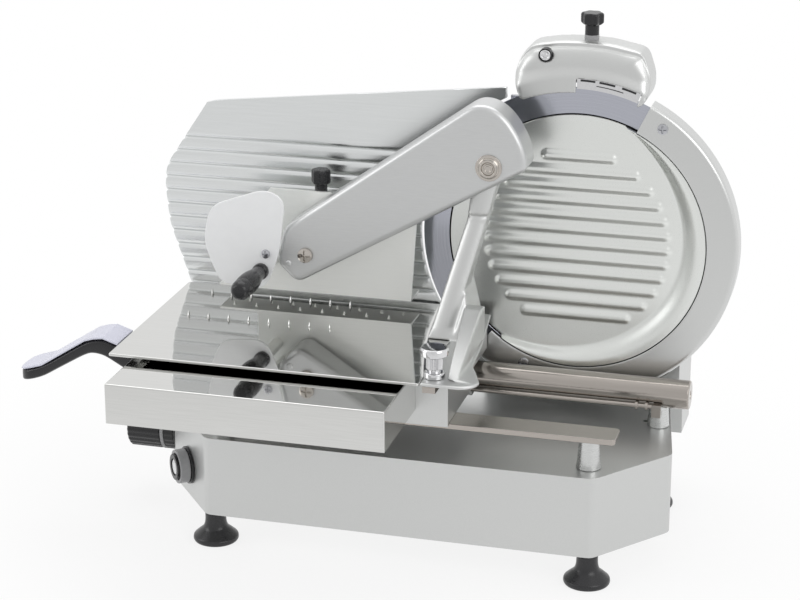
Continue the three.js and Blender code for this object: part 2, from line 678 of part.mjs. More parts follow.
function bladeHub() {
  const front = bladeBackY + seat;
  const rear = headRearY - hub.rearGap;
  return turned('y', blade.x, bladeZ, [
    [blade.bore, front], [hub.flangeRadius, front], [hub.flangeRadius, front + hub.flangeThickness],
    [hub.radius, front + hub.flangeThickness], [hub.radius, rear], [blade.bore, rear], [blade.bore, front],
  ]);
}

function coverPlate() {
  const radius = rimInner - cover.gap;
  const back = cutY + cover.thickness;
  const dishInner = radius - cover.dishInset;
  const dishFront = cutY - cover.dishRise;
  const disc = rod('y', blade.x, bladeZ, radius, cutY, back, discSides);
  const dish = turned('y', blade.x, bladeZ, [
    [dishInner, cutY], [radius - cover.dishSheet, dishFront], [radius, dishFront], [radius, back],
    [dishInner, back], [dishInner, cutY],
  ], discSides).intersect(sector(
    blade.x, bladeZ, radius + overrun, cover.dishStartAngle, cover.dishEndAngle,
    dishFront - overrun, back + overrun,
  ));
  const ribs = Array.from({ length: cover.ribCount }, (_, i) => {
    const up = cover.ribTopOffset - cover.ribPitch * i;
    const half = Math.sqrt(cover.ribReach ** 2 - up ** 2);
    const y = cutY + cover.ribRadius - cover.ribProud;
    const bar = rod('x', y, bladeZ + up, cover.ribRadius, blade.x - half, blade.x + half, smallSides);
    return cut(bar, block(
      blade.x - radius, blade.x + radius, cutY + cover.thickness / 2, cutY + cover.ribRadius * 2 + overrun,
      bladeZ + up - cover.ribRadius - overrun, bladeZ + up + cover.ribRadius + overrun,
    ));
  });
  return join(disc, dish, ...ribs);
}

function ringGuard() {
  const rear = ringFrontY + ring.depth;
  const footRear = headY - seat;
  const inner = ringRadius - ring.wall;
  const shape = turned('y', blade.x, bladeZ, [
    [ringRadius - ring.flange, ringFrontY], [ringRadius, ringFrontY], [ringRadius, rear], [inner, rear],
    [inner, ringFrontY + ring.wall], [ringRadius - ring.flange, ringFrontY + ring.wall],
    [ringRadius - ring.flange, ringFrontY],
  ], discSides);
  const around = ringRadius + overrun;
  const guardRing = shape.intersect(sector(
    blade.x, bladeZ, around * 2, ring.startAngle, ring.endAngle, ringFrontY - overrun, rear + overrun,
  ));
  const seatRing = tube('y', blade.x, bladeZ, inner, ringRadius, ringFrontY + ring.wall, footRear, discSides)
    .intersect(sector(
      blade.x, bladeZ, around * 2, ring.footStartAngle, ring.footEndAngle, ringFrontY, footRear + overrun,
    ));
  const screwReach = ringRadius - ring.flange / 2;
  const screw = turned(
    'y', blade.x + screwReach * Math.cos(radians(ring.screwAngle)),
    bladeZ + screwReach * Math.sin(radians(ring.screwAngle)),
    [
      [0, ringFrontY - ring.screwRise], [ring.screwRadius / 2, ringFrontY - ring.screwRise],
      [ring.screwRadius, ringFrontY], [ring.screwRadius, ringFrontY + ring.wall / 2],
      [0, ringFrontY + ring.wall / 2],
    ], smallSides,
  );
  return join(guardRing, seatRing, screw);
}

// Drive

// The housing's shape, moved inwards by a wall
function headShape(wall, front, rear, packFront) {
  const boxTop = baseTop + head.boxRise;
  const waist = [
    [blade.x - head.waistLeftReach + wall, boxTop - overrun - wall],
    [blade.x + head.waistRightReach - wall, boxTop - overrun - wall],
    [blade.x + head.neckRadius - wall, bladeZ + head.neckAbove],
    [blade.x - head.neckRadius + wall, bladeZ + head.neckAbove],
  ];
  return join(
    block(headLeft + wall, headRight - wall, front, rear, baseTop + seat + wall, boxTop - wall),
    slab('y', waist, front, rear),
    rod('y', blade.x, bladeZ, head.neckRadius - wall, front, rear, discSides),
    block(
      blade.x - head.packReach + wall, headRight - wall, packFront, rear,
      baseTop - head.packDrop + wall, boxTop - wall,
    ),
  );
}

function headHousing() {
  const packFront = base.depth + head.packGap;
  const bossRear = headY + head.bossDepth;
  const bearingBore = bearing.radius + seat;
  const frontBoreRear = headY + bearing.inset + bearing.width + seat;
  const rearBoreFront = bossRear - bearing.width - seat;
  const shell = cut(
    headShape(0, headY, headRearY, packFront),
    headShape(head.wall, headY + head.wall, headRearY + overrun, packFront + head.wall),
  );
  return cut(
    join(shell, rod('y', blade.x, bladeZ, head.bossRadius, headY + head.wall / 2, bossRear)),
    rod('y', blade.x, bladeZ, bearingBore, headY - overrun, frontBoreRear),
    rod('y', blade.x, bladeZ, bearing.shoulderRadius, headY, bossRear),
    rod('y', blade.x, bladeZ, bearingBore, rearBoreFront, bossRear + overrun),
  );
}

function rearCover() {
  const front = headRearY + seat;
  const lid = headShape(0, front, front + head.lid, front);
  return cut(lid, rod('y', blade.x, bladeZ, tieRod.radius + seat, front - overrun, front + head.lid + overrun));
}

function hubBearing(front) {
  return tube('y', blade.x, bladeZ, hub.radius + seat, bearing.radius, front, front + bearing.width);
}

const pulleyFront = headRearY - pulley.fromRear;
const motorZ = baseTop + motor.rise;

function hubPulley() {
  return tube('y', blade.x, bladeZ, hub.radius + seat, pulley.radius, pulleyFront, pulleyFront + pulley.width);
}

function motorBody() {
  const front = headY + head.wall + seat;
  const rear = front + motor.length;
  return cut(
    rod('y', motorX, motorZ, motor.radius, front, rear),
    rod('y', motorX, motorZ, motor.shaftRadius + motor.bore, front + head.wall, rear + overrun, smallSides),
  );
}

function motorRotor() {
  const front = headY + head.wall * 2 + seat * 2;
  return turned('y', motorX, motorZ, [
    [0, front], [motor.shaftRadius, front], [motor.shaftRadius, pulleyFront], [motor.pulleyRadius, pulleyFront],
    [motor.pulleyRadius, pulleyFront + pulley.width], [0, pulleyFront + pulley.width],
  ]);
}

// The loop round two circles, each grown by a distance
function beltLoop(grow) {
  const hubRadius = pulley.radius + grow;
  const motorRadius = motor.pulleyRadius + grow;
  const away = Math.atan2(motorZ - bladeZ, motorX - blade.x);
  const apart = Math.hypot(motorZ - bladeZ, motorX - blade.x);
  const open = THREE.MathUtils.radToDeg(Math.acos((hubRadius - motorRadius) / apart));
  const heading = THREE.MathUtils.radToDeg(away);
  return [
    ...arc(blade.x, bladeZ, hubRadius, heading + open, heading + 360 - open, roundSides),
    ...arc(motorX, motorZ, motorRadius, heading - open, heading + open, roundSides),
  ];
}

function driveBelt() {
  const front = pulleyFront + belt.inset;
  const rear = pulleyFront + pulley.width - belt.inset;
  return cut(
    slab('y', beltLoop(seat + belt.thickness), front, rear),
    slab('y', beltLoop(seat), front - overrun, rear + overrun),
  );
}

function coverTieRod() {
  const front = cutY + cover.thickness + seat;
  const lidRear = headRearY + seat + head.lid + seat;
  return turned('y', blade.x, bladeZ, [
    [0, front], [tieRod.radius, front], [tieRod.radius, lidRear], [tieRod.knobRadius, lidRear],
    [tieRod.knobRadius, lidRear + tieRod.knobDepth], [0, lidRear + tieRod.knobDepth],
  ], tieRod.knobSides);
}

// Gauge

function gaugePlate() {
  const low = baseTop + gauge.bottom;
  const high = baseTop + gauge.top;
  const valley = cutY + gauge.crest;
  const half = 1 / 2;
  const front = [];
  for (let rib = 0; rib < gauge.ribCount; rib += 1) {
    const crest = baseTop + gauge.firstRib - gauge.ribPitch * rib;
    for (let step = 0; step <= gauge.ribSteps; step += 1) {
      const share = step / gauge.ribSteps;
      const proud = gauge.crest * Math.sin(Math.PI * share);
      front.push([valley - proud, crest + gauge.ribPitch * gauge.ribWidthShare * (half - share)]);
    }
  }
  const profile = [
    [valley, high + overrun], ...front, [valley, low - overrun], [gaugeBackY, low - overrun],
    [gaugeBackY, high + overrun],
  ];
  const sheetPlate = slab('x', profile, gauge.left - overrun, gauge.right + overrun);
  const outline = placed(gaugeOutlineShares, gauge.left, gauge.right, low, high);
  return cut(
    sheetPlate.intersect(slab('y', outline, cutY - overrun, gaugeBackY + overrun)),
    rod('y', blade.x, bladeZ, blade.radius + gauge.bladeGap, cutY - overrun, gaugeBackY + overrun, discSides),
    sector(
      blade.x, bladeZ, ringRadius + gauge.ringGap, ring.startAngle - gauge.ringLeadAngle, ring.footEndAngle,
      cutY - overrun, gaugeBackY + overrun,
    ),
  );
}

const pinY = knob.y + cam.innerRadius + slip + carrier.pinRadius;

function gaugeCarrier() {
  const left = carrierX - carrier.width / 2;
  const right = carrierX + carrier.width / 2;
  const camLeft = camX - cam.width / 2 - slip * 2;
  const armLow = knobZ - carrier.armBelow;
  return cut(
    join(
      block(
        carrierX - carrier.padLeft, carrierX + carrier.padRight, gaugeBackY + seat, carrierFrontY,
        baseTop + carrier.padLow, baseTop + carrier.padHigh,
      ),
      block(left, right, carrierFrontY, carrierRearY, guideZ - carrier.bossRadius, baseTop + carrier.padHigh),
      rod('y', carrierX, guideZ, carrier.bossRadius, carrierBossFront, carrierRearY),
      block(
        left, camLeft, carrierBossFront - carrier.pinRadius, carrierBossFront + carrier.armDepth,
        armLow, guideZ - carrier.guideRadius,
      ),
      rod('x', pinY, knobZ, carrier.pinRadius, camLeft - cam.width / 2, camX + cam.width, smallSides),
    ),
    rod(
      'y', carrierX, guideZ, carrier.guideRadius + slip, carrierBossFront - overrun * 2, carrierRearY + overrun,
    ),
  );
}

function gaugeGuideShaft() {
  return rod('y', carrierX, guideZ, carrier.guideRadius, carrier.guideFront, guideRear);
}

// Thickness knob, its scale ring and the spindle with the spiral cam

function thicknessKnob() {
  const left = knobRightX - knob.length;
  const ringLeft = knobRightX - knob.ringInset - knob.ringWidth;
  const bore = knob.spindleRadius + seat;
  const groove = knob.radius - knob.ringDepth;
  return turned('x', knob.y, knobZ, [
    [0, left], [knob.radius - knob.edge, left], [knob.radius, left + knob.edge], [knob.radius, ringLeft - seat],
    [groove, ringLeft - seat], [groove, ringLeft + knob.ringWidth + seat],
    [knob.radius, ringLeft + knob.ringWidth + seat], [knob.radius, knobRightX], [bore, knobRightX],
    [bore, left + knob.length / 2], [0, left + knob.length / 2],
  ]);
}

function thicknessScaleRing() {
  const left = knobRightX - knob.ringInset - knob.ringWidth;
  return tube(
    'x', knob.y, knobZ, knob.radius - knob.ringDepth + seat, knob.radius, left, left + knob.ringWidth,
  );
}

function thicknessSpindle() {
  const left = knobRightX - knob.length / 2 + seat;
  const spiral = Array.from({ length: cam.steps + 1 }, (_, i) => {
    const share = i / cam.steps;
    const angle = radians(-cam.turnAngle * share);
    const radius = cam.innerRadius + gauge.travel * share;
    return [knob.y + radius * Math.cos(angle), knobZ + radius * Math.sin(angle)];
  });
  const dwell = arc(knob.y, knobZ, cam.innerRadius, cam.dwellAngle, 0, cornerSteps).slice(0, -1);
  return join(
    rod('x', knob.y, knobZ, knob.spindleRadius, left, spindleHangerX, smallSides),
    slab('x', [...spiral, ...dwell], camX - cam.width / 2, camX + cam.width / 2),
  );
}

// Sharpener

function sharpenerHousing() {
  const outline = placed(
    sharpenerOutlineShares, sharpener.left, sharpener.right, sharpener.low, sharpener.high,
  );
  const rear = sharpener.front + sharpener.depth;
  const innerFront = sharpener.front + sharpener.wall;
  const innerRear = rear - sharpener.wall;
  const innerOutline = rounded(inset(outline, sharpener.wall), sharpener.corner - sharpener.wall);
  const skirtRadius = blade.radius - sharpener.skirtOverlap;
  const shell = cut(
    slab('y', rounded(outline, sharpener.corner), sharpener.front, rear),
    slab('y', innerOutline, innerFront, innerRear),
    rod('y', blade.x, bladeZ, skirtRadius, sharpener.front - overrun, rear + overrun, discSides),
    rod('y', blade.x, bladeZ, blade.radius + sharpener.bladeRoom, innerFront, innerRear, discSides),
    sector(
      blade.x, bladeZ, blade.radius + sharpener.notchRise, sharpener.notchStartAngle, sharpener.notchEndAngle,
      sharpener.front - overrun, innerFront + sharpener.wall,
    ),
  );
  const sleeve = rod('z', postX, postY, post.sleeveRadius, sleeveLow, sharpener.high - sharpener.wall);
  const screwHole = sharpenerKnob.screwRadius + slip;
  const shaftHole = stoneShaft.radius + slip;
  const shaftHoles = [grindStone, honeStone].map(({ aside, rise }) => rod(
    'y', blade.x + aside, bladeTop + rise, shaftHole, innerRear - overrun, rear + overrun, smallSides,
  ));
  return cut(
    join(shell, sleeve),
    rod('z', postX, postY, post.radius + slip, sleeveLow - overrun, postTop + slip),
    rod('z', postX, postY, screwHole, sleeveLow, sharpener.high + overrun, smallSides),
    rod(
      'y', blade.x + pushButton.aside, bladeTop + pushButton.rise, pushButton.radius + slip,
      sharpener.front - overrun, innerFront + overrun,
    ),
    ...shaftHoles,
  );
}

function sharpenerBracket() {
  const front = bladeBackY + bracket.frontGap;
  const rear = front + bracket.depth;
  const noseFront = bladeBackY + bracket.noseGap;
  const left = blade.x - bracket.halfWidth;
  const right = blade.x + bracket.halfWidth;
  const tailLow = bracketTop - bracket.tailDrop;
  const upright = cut(
    block(left, right, front, rear, bladeZ, bracketTop),
    rod('y', blade.x, bladeZ, head.neckRadius + seat, front - overrun, rear + overrun, discSides),
  );
  return join(
    upright,
    block(
      blade.x - bracket.noseReach, right, noseFront, front + bracket.arm, bracketTop - bracket.arm, bracketTop,
    ),
    block(
      blade.x - bracket.tailReach, right, noseFront, noseFront + bracket.tailDepth,
      tailLow, tailLow + bracket.tailHeight,
    ),
    rod('z', postX, postY, post.radius, bracketTop - bracket.arm / 2, postTop),
  );
}

// A lobed knob on a stem with a screw below, standing at the origin
function lobedKnob(sizes, screwDepth) {
  const collarTop = sizes.collarHeight || 0;
  const stemTop = collarTop + sizes.stemHeight;
  return join(
    turned('z', 0, 0, [
      [0, -screwDepth], [sizes.screwRadius, -screwDepth], [sizes.screwRadius, 0],
      [sizes.collarRadius || sizes.stemRadius, 0], [sizes.collarRadius || sizes.stemRadius, collarTop],
      [sizes.stemRadius, collarTop], [sizes.stemRadius, stemTop], [0, stemTop],
    ], smallSides),
    slab('z', lobed(sizes.headRadius), stemTop - sizes.screwRadius / 2, stemTop + sizes.headHeight),
  );
}

function stone(sizes, front) {
  const shaftRear = sharpener.front + sharpener.depth - sharpener.wall / 2;
  const rear = front + sizes.width;
  return turned('y', blade.x + sizes.aside, bladeTop + sizes.rise, [
    [0, front], [sizes.radius, front], [sizes.radius, rear], [stoneShaft.radius, rear],
    [stoneShaft.radius, shaftRear], [0, shaftRear],
  ]);
}

function stonePushButton() {
  const front = sharpener.front + pushButton.sunk;
  return rod(
    'y', blade.x + pushButton.aside, bladeTop + pushButton.rise, pushButton.radius,
    front, front + pushButton.length,
  );
}

// Carriage

function carriageBlock() {
  const flatTop = flatRailTop + seat;
  const deckBottom = deckTop - carriage.deckHeight;
  const { bossLeft, bossRight, bossRadius } = carriage;
  const body = join(
    block(carriage.left, carriage.right, carriage.front, carriage.rear, flatTop, deckTop),
    block(carriage.left, carriage.right, lipFront, lipRear, flatRailTop - carriage.lipDrop, deckBottom),
    block(carriage.deckLeft, carriage.right, carriage.front, carriage.deckRear, deckBottom, deckTop),
    block(bossLeft, carriage.right, carriage.front, carriage.rear, deckBottom, deckTop),
    block(
      bossLeft, carriage.left + carriage.lip, roundRail.y, roundRail.y + bossRadius / 2, roundRailZ,
      deckTop - carriage.deckHeight / 2,
    ),
    rod('x', roundRail.y, roundRailZ, bossRadius, bossLeft, bossRight),
  );
  const behindBoss = block(
    bossRight, carriage.right + overrun, liftRodY - bossRadius, carriage.rear + overrun,
    flatRailTop - overrun, roundRailZ + bossRadius,
  );
  return cut(
    body, behindBoss,
    rod('x', roundRail.y, roundRailZ, carriage.bushOuter + seat, bossLeft - overrun, bossRight + overrun),
    block(
      bossLeft - overrun, bossRight + overrun,
      roundRail.y - bossRadius - overrun, roundRail.y - carriage.rodRoomBack,
      roundRailZ - bossRadius - overrun, roundRailZ - carriage.rodRoomUp,
    ),
  );
}

function carriageBush() {
  const { bossLeft, bossRight, bushInset } = carriage;
  return tube(
    'x', roundRail.y, roundRailZ, carriage.bushInner, carriage.bushOuter,
    bossLeft + bushInset, bossRight - bushInset,
  );
}

function frontShelf() {
  const low = shelfTop - shelf.apron;
  return cut(
    block(shelf.left, shelf.right, shelf.front, shelf.rear, low, shelfTop),
    block(
      shelf.left + shelf.sheet, shelf.right - shelf.sheet, shelf.front + shelf.sheet, shelf.rear + overrun,
      low - overrun, shelfTop - shelf.sheet,
    ),
    block(
      shelf.left - overrun, shelf.right + overrun, lipFront - seat, shelf.rear + overrun,
      low - overrun, shelfTop - shelf.sheet,
    ),
  );
}

// The grip's plan, with its free end rounded
function gripPlan() {
  const rear = grip.front + grip.width;
  const plan = [
    [gripLeft, grip.front], [gripRight, grip.front], [gripRight, rear], [gripLeft, rear],
  ];
  const [nearTip, rootFront, rootRear, farTip] = plan;
  const tip = [farTip, nearTip].map(([x, y]) => [x, y]);
  const soft = rounded([rootFront, rootRear, ...tip], grip.tipRadius);
  const above = baseTop + grip.bottom + grip.height + overrun;
  const square = block(gripRight - grip.tipRadius, gripRight, grip.front, rear, baseTop, above);
  return join(slab('z', soft, baseTop, above), square);
}

function gripBody() {
  const low = baseTop + grip.bottom;
  const high = low + grip.height - grip.inlay - seat;
  const outline = placed(
    [...gripBottomShares, ...gripTopShares, [1, gripRootShare]], gripLeft, gripRight, low, high,
  );
  return slab('y', outline, grip.front, grip.front + grip.width).intersect(gripPlan());
}

function gripInlay() {
  const low = baseTop + grip.bottom + seat;
  const high = low + grip.height - grip.inlay - seat;
  const under = placed(gripTopShares, gripLeft, gripRight, low, high);
  const over = under.map(([x, z]) => [x, z + grip.inlay]).reverse();
  return slab('y', [...under, ...over], grip.front, grip.front + grip.width).intersect(gripPlan());
}

function crossSlide() {
  return block(slide.left, slide.right, slide.front, slide.rear, deckTop + seat, tableBottom - seat);
}

// Meat table

// A pointed tooth on a face, rooted in what is behind the face. A negative height points down.
function spike(x, y, z, radius, height, sides) {
  const root = z - Math.sign(height) * table.spikeRoot;
  return turned('z', x, y, [[0, root], [radius, root], [radius, z], [0, z + height]], sides);
}

function meatPlate() {
  const plate = block(table.left, table.right, table.front, table.rear, tableBottom, tableTop);
  const places = Array.from({ length: table.spikeCount }, (_, i) => table.spikePitch * i + table.spikeInset);
  const spikes = [table.frontRowInset, table.rearRowInset].flatMap(inset => places.map(place => spike(
    table.left + place, table.front + inset, tableTop, table.spikeRadius, table.spikeHeight, table.spikeSides,
  )));
  return join(plate, ...spikes);
}

function column() {
  const at = fromPlate;
  const left = table.right + seat;
  const top = tableTop + casting.rise;
  const lapLow = tableBottom - seat - casting.lapSheet;
  const footZ = tableTop + seat;
  const waistZ = tableTop + casting.waistRise;
  const neckZ = tableTop + casting.neckRise;
  const noseX = at.right - casting.noseRadius;
  const noseY = table.front + casting.noseRadius;
  const flange = slab('z', [
    [left, table.front], ...arc(noseX, noseY, casting.noseRadius, -90, 0, roundSides / 4),
    [at.braceRight, casting.lugFront], [at.webRight, casting.rear], [left, casting.rear],
  ], tableBottom, top);
  const lap = block(
    table.right - casting.lap, left + casting.lapSheet, noseY, casting.rear, lapLow, tableBottom - seat,
  );
  const lapJoint = block(left, left + casting.lapSheet, noseY, casting.rear, lapLow, top);
  const keel = block(
    slide.right + slip, slide.right + slip + slide.keel, noseY, casting.rear,
    shelfTop + seat, tableBottom + table.sheet / 2,
  );
  const waist = [
    [at.waistLeft, casting.waistFront, waistZ], [at.waistRight, casting.waistFront, waistZ],
    [at.waistLeft, casting.waistRear, waistZ], [at.waistRight, casting.waistRear, waistZ],
  ];
  const shaftLow = hull([
    [at.footLeft, casting.footFront, footZ], [at.footRight, casting.footFront, footZ],
    [at.footLeft, casting.footRear, footZ], [at.footRight, casting.footRear, footZ],
    ...waist,
  ]);
  const shaftHigh = hull([
    ...waist,
    [pivotX - casting.headRadius, casting.waistFront, neckZ],
    [pivotX + casting.headRadius / 2, casting.waistFront, neckZ],
    [pivotX - casting.headRadius, casting.headRear, neckZ],
    [pivotX + casting.headRadius / 2, casting.headRear, neckZ],
  ]);
  const headFront = arm.front + arm.wall + seat;
  const head = rod('y', pivotX, pivotZ, casting.headRadius, headFront, casting.headRear);
  const webLeft = at.footRight - casting.webLap;
  const web = hull([
    [webLeft, casting.footFront, footZ], [at.webRight, casting.footFront, tableTop],
    [webLeft, casting.webRear, footZ], [at.webRight, casting.webRear, tableTop],
    [at.waistLeft, casting.waistRear, tableTop + casting.webRise],
    [at.waistLeft, casting.waistFront - casting.headRadius, tableTop + casting.webRise],
  ]);
  const lugZ = tableTop + casting.lugRise;
  const lugTop = lugZ + casting.lugHeight;
  const lugRear = casting.lugFront + casting.lugDepth;
  const braceRear = casting.braceFront + casting.braceFoot;
  const brace = hull([
    [at.braceLeft, casting.braceFront, tableTop], [at.braceRight, casting.braceFront, tableTop],
    [at.braceLeft, braceRear, tableTop], [at.braceRight, braceRear, tableTop],
    [at.lugLeft, casting.lugFront, lugZ], [at.lugRight, casting.lugFront, lugZ],
    [at.lugLeft, casting.lugFront, lugTop], [at.lugRight, casting.lugFront, lugTop],
    [at.lugLeft, lugRear, lugTop], [at.lugRight, lugRear, lugTop],
    [at.lugLeft, lugRear, tableTop], [at.lugRight, lugRear, tableTop],
  ]);
  const boltEnd = arm.front + arm.shankDepth + slip;
  const stemHole = tableKnob.stemRadius + slip;
  return cut(
    join(flange, lap, lapJoint, keel, shaftLow, shaftHigh, head, web, brace),
    rod('y', pivotX, pivotZ, arm.shankRadius + slip, headFront - overrun, boltEnd),
    rod('z', at.lockKnob, tableKnob.y, stemHole, tableBottom - overrun, top + overrun, smallSides),
    block(table.left, left, table.front - overrun, table.rear, tableBottom - seat, tableTop + seat),
  );
}

function tableLockKnob() {
  const low = tableTop + casting.rise + seat;
  const neckTop = low + tableKnob.ringHeight + tableKnob.neckHeight;
  const headTop = neckTop + tableKnob.headHeight;
  const { radius, neckRadius, ringRadius, stemRadius, edge } = tableKnob;
  return turned('z', fromPlate.lockKnob, tableKnob.y, [
    [0, tableBottom], [stemRadius, tableBottom], [stemRadius, low], [ringRadius, low],
    [ringRadius, low + tableKnob.ringHeight], [neckRadius, low + tableKnob.ringHeight],
    [neckRadius, neckTop], [radius, neckTop], [radius, headTop - edge], [radius - edge, headTop], [0, headTop],
  ]);
}

// Clamp arm

function armCover() {
  const { left, right, low, high } = armReach;
  const outline = placed(armOutlineShares, pivotX - left, pivotX + right, pivotZ - low, pivotZ + high);
  const rear = arm.front + arm.depth;
  const inner = arm.front + arm.wall;
  const clearance = sector(
    pivotX, pivotZ, left + right, arm.clearStartAngle, arm.clearEndAngle, inner, rear + overrun,
  );
  const pan = cut(
    slab('y', rounded(outline, arm.corner), arm.front, rear),
    slab('y', rounded(inset(outline, arm.wall), arm.corner - arm.wall), inner, rear + overrun),
    clearance,
  );
  const rivet = turned('y', hingeX - arm.rivetLeft, hingeZ - arm.rivetLow, [
    [0, arm.front - arm.rivetRise], [arm.rivetRadius / 2, arm.front - arm.rivetRise],
    [arm.rivetRadius, arm.front], [arm.rivetRadius, inner], [0, inner],
  ], smallSides);
  const screwHole = press.shankRadius + slip;
  return cut(
    join(pan, rivet),
    rod('y', pivotX, pivotZ, arm.shankRadius + slip, arm.front - overrun, inner + overrun),
    rod('y', hingeX, hingeZ, screwHole, arm.front - overrun, inner + overrun, smallSides),
  );
}

// A headed bolt along Y whose head lies on a face
function headedBolt(x, z, headRadius, headHeight, shankRadius, faceY, shankDepth) {
  const headRear = faceY - seat;
  const headFront = headRear - headHeight;
  const end = faceY + shankDepth;
  return turned('y', x, z, [
    [0, headFront], [headRadius * arm.faceShare, headFront], [headRadius, headRear - headHeight / 2],
    [headRadius, headRear], [shankRadius, headRear], [shankRadius, end], [0, end],
  ], smallSides);
}

function pressPlate() {
  const rear = press.front + press.depth;
  const panelRear = press.front + press.panel;
  const panel = placed(panelOutlineShares, press.panelLeft, press.right, press.bottom, press.panelTop);
  const bossFront = arm.front + arm.wall + seat;
  const guardBack = guard.front + guard.sheet + seat;
  const rows = [0, 1].flatMap(row => Array.from({ length: press.spikeCount }, (_, i) => spike(
    press.left + press.spikeInset + press.spikePitch * (i + row / 2),
    row ? rear - press.rowInset : press.front + press.rowInset,
    press.bottom, press.spikeRadius, -press.spikeHeight, press.spikeSides,
  )));
  const stud = turned('y', handle.x, handle.z, [
    [0, handle.studEnd], [handle.studRadius, handle.studEnd], [handle.studRadius, guardBack],
    [handle.spacerRadius, guardBack], [handle.spacerRadius, panelRear], [0, panelRear],
  ], smallSides);
  const lockRear = press.front + lockBoss.depth;
  const hingeHole = press.shankRadius + slip;
  const hingeEnd = arm.front + press.shankDepth + slip;
  const guardHole = guard.screwShank + slip;
  const guardEnd = guard.front + guard.screwDepth + slip;
  const lockHole = lockKnob.screwRadius + slip;
  const lockEnd = lockBoss.high - lockKnob.screwDepth - slip;
  return cut(
    join(
      block(press.left, press.right, press.front, rear, press.bottom, press.bottom + press.sheet),
      slab('y', panel, press.front, panelRear),
      rod('y', hingeX, hingeZ, press.bossRadius, bossFront, panelRear),
      stud,
      rod('y', guard.screwX, guard.screwZ, guard.screwRadius, guardBack, panelRear, smallSides),
      block(lockBoss.left, lockBoss.right, press.front, lockRear, lockBoss.low, lockBoss.high),
      ...rows,
    ),
    rod('y', hingeX, hingeZ, hingeHole, bossFront - overrun, hingeEnd, smallSides),
    rod('y', guard.screwX, guard.screwZ, guardHole, guardBack - overrun, guardEnd, smallSides),
    rod('z', lockX, lockY, lockHole, lockEnd, lockBoss.high + overrun, smallSides),
  );
}

function handGuard() {
  const outline = placed(guardOutlineShares, guard.left, guard.right, guard.low, guard.high);
  const rear = guard.front + guard.sheet;
  const ahead = guard.front - overrun;
  const behind = rear + overrun;
  return cut(
    slab('y', rounded(outline, guard.corner), guard.front, rear),
    rod('y', handle.x, handle.z, handle.studRadius + seat, ahead, behind, smallSides),
    rod('y', guard.screwX, guard.screwZ, guard.screwShank + seat, ahead, behind, smallSides),
  );
}

function pressHandle() {
  const rear = guard.front - seat;
  const end = rear - handle.length;
  const collarEnd = rear - handle.collarLength;
  const bore = handle.studRadius + seat;
  const boreEnd = handle.studEnd - seat;
  const { endRadius, bodyRadius, collarRadius } = handle;
  return turned('y', handle.x, handle.z, [
    [0, end], [endRadius * handle.tipShare, end], [endRadius, end + endRadius / 2],
    [bodyRadius, end + handle.length / 4], [bodyRadius, end + handle.length / 2],
    [handle.waistRadius, collarEnd], [collarRadius, collarEnd], [collarRadius, rear],
    [bore, rear], [bore, boreEnd], [0, boreEnd],
  ]);
}

// Assembly: one group for each thing that moves by itself

function group(...children) {
  const together = new THREE.Group();
  together.add(...children);
  return together;
}

function placedCopies(name, geometrySolid, material, places, z) {
  return places.map(([x, y], i) => {
    const copy = piece(`${name}_${i + 1}`, geometrySolid, material);
    copy.position.set(x, y, z);
    return copy;
  });
}

const postPlaces = (x, y) => [[-x, y], [x, y]];
const roundPosts = postPlaces(roundPostX, roundRail.y);
const flatPosts = postPlaces(flatPostX, flatRail.y);
const lockKnobPiece = piece('press_lock_knob', lobedKnob(lockKnob, lockKnob.screwDepth), blackPlastic);
lockKnobPiece.position.set(lockX, lockY, lockBoss.high + seat);
const sharpenerKnobPiece = piece(
  'sharpener_knob', lobedKnob(sharpenerKnob, sharpener.high - postTop), blackPlastic,
);
sharpenerKnobPiece.position.set(postX, postY, sharpener.high + seat);

const frame = group(
  piece('base_housing', baseHousing(), castSilver),
  piece('bottom_plate', bottomPlate(), satinSteel),
  ...placedCopies('foot', rubberFoot(), blackRubber, footPlaces, 0),
  piece('cable_gland', cableGland(), blackPlastic),
  piece('switch_bezel', switchBezel(), blackPlastic),
  piece('switch_collar', switchCollar(), greyPlastic),
  piece('round_rail', roundRailBar(), polishedSteel),
  ...placedCopies('round_rail_post', roundRailPost(), satinSteel, roundPosts, baseTop),
  piece('flat_rail', flatRailBar(), polishedSteel).translateY(flatRail.y),
  ...placedCopies('flat_rail_post', flatRailPost(), satinSteel, flatPosts, baseTop),
  piece('lift_rod', liftRodBar(), polishedSteel),
  piece('head_housing', headHousing(), castSilver),
  piece('rear_cover', rearCover(), satinSteel),
  piece('ring_guard', ringGuard(), castSilver),
  piece('cover_plate', coverPlate(), castSilver),
  piece('cover_tie_rod', coverTieRod(), satinSteel),
  piece('hub_bearing_front', hubBearing(headY + bearing.inset), bearingSteel),
  piece('hub_bearing_rear', hubBearing(headY + head.bossDepth - bearing.width), bearingSteel),
  piece('motor_body', motorBody(), castSilver),
  piece('drive_belt', driveBelt(), blackRubber),
  piece('sharpener_bracket', sharpenerBracket(), satinSteel),
  piece('gauge_guide_shaft', gaugeGuideShaft(), polishedSteel),
);
const bladeGroup = group(
  piece('blade', bladeDisc(), mirrorSteel),
  piece('blade_hub', bladeHub(), bearingSteel),
  piece('hub_pulley', hubPulley(), castSilver),
);
const rotorGroup = group(piece('motor_rotor', motorRotor(), bearingSteel));
const gaugeGroup = group(
  piece('gauge_plate', gaugePlate(), castSilver),
  piece('gauge_carrier', gaugeCarrier(), castSilver),
);
const thicknessGroup = group(
  piece('thickness_knob', thicknessKnob(), blackPlastic),
  piece('thickness_scale_ring', thicknessScaleRing(), greyPlastic),
  piece('thickness_spindle', thicknessSpindle(), polishedSteel),
);
const switchGroup = group(piece('switch_button', switchButton(), whitePlastic));
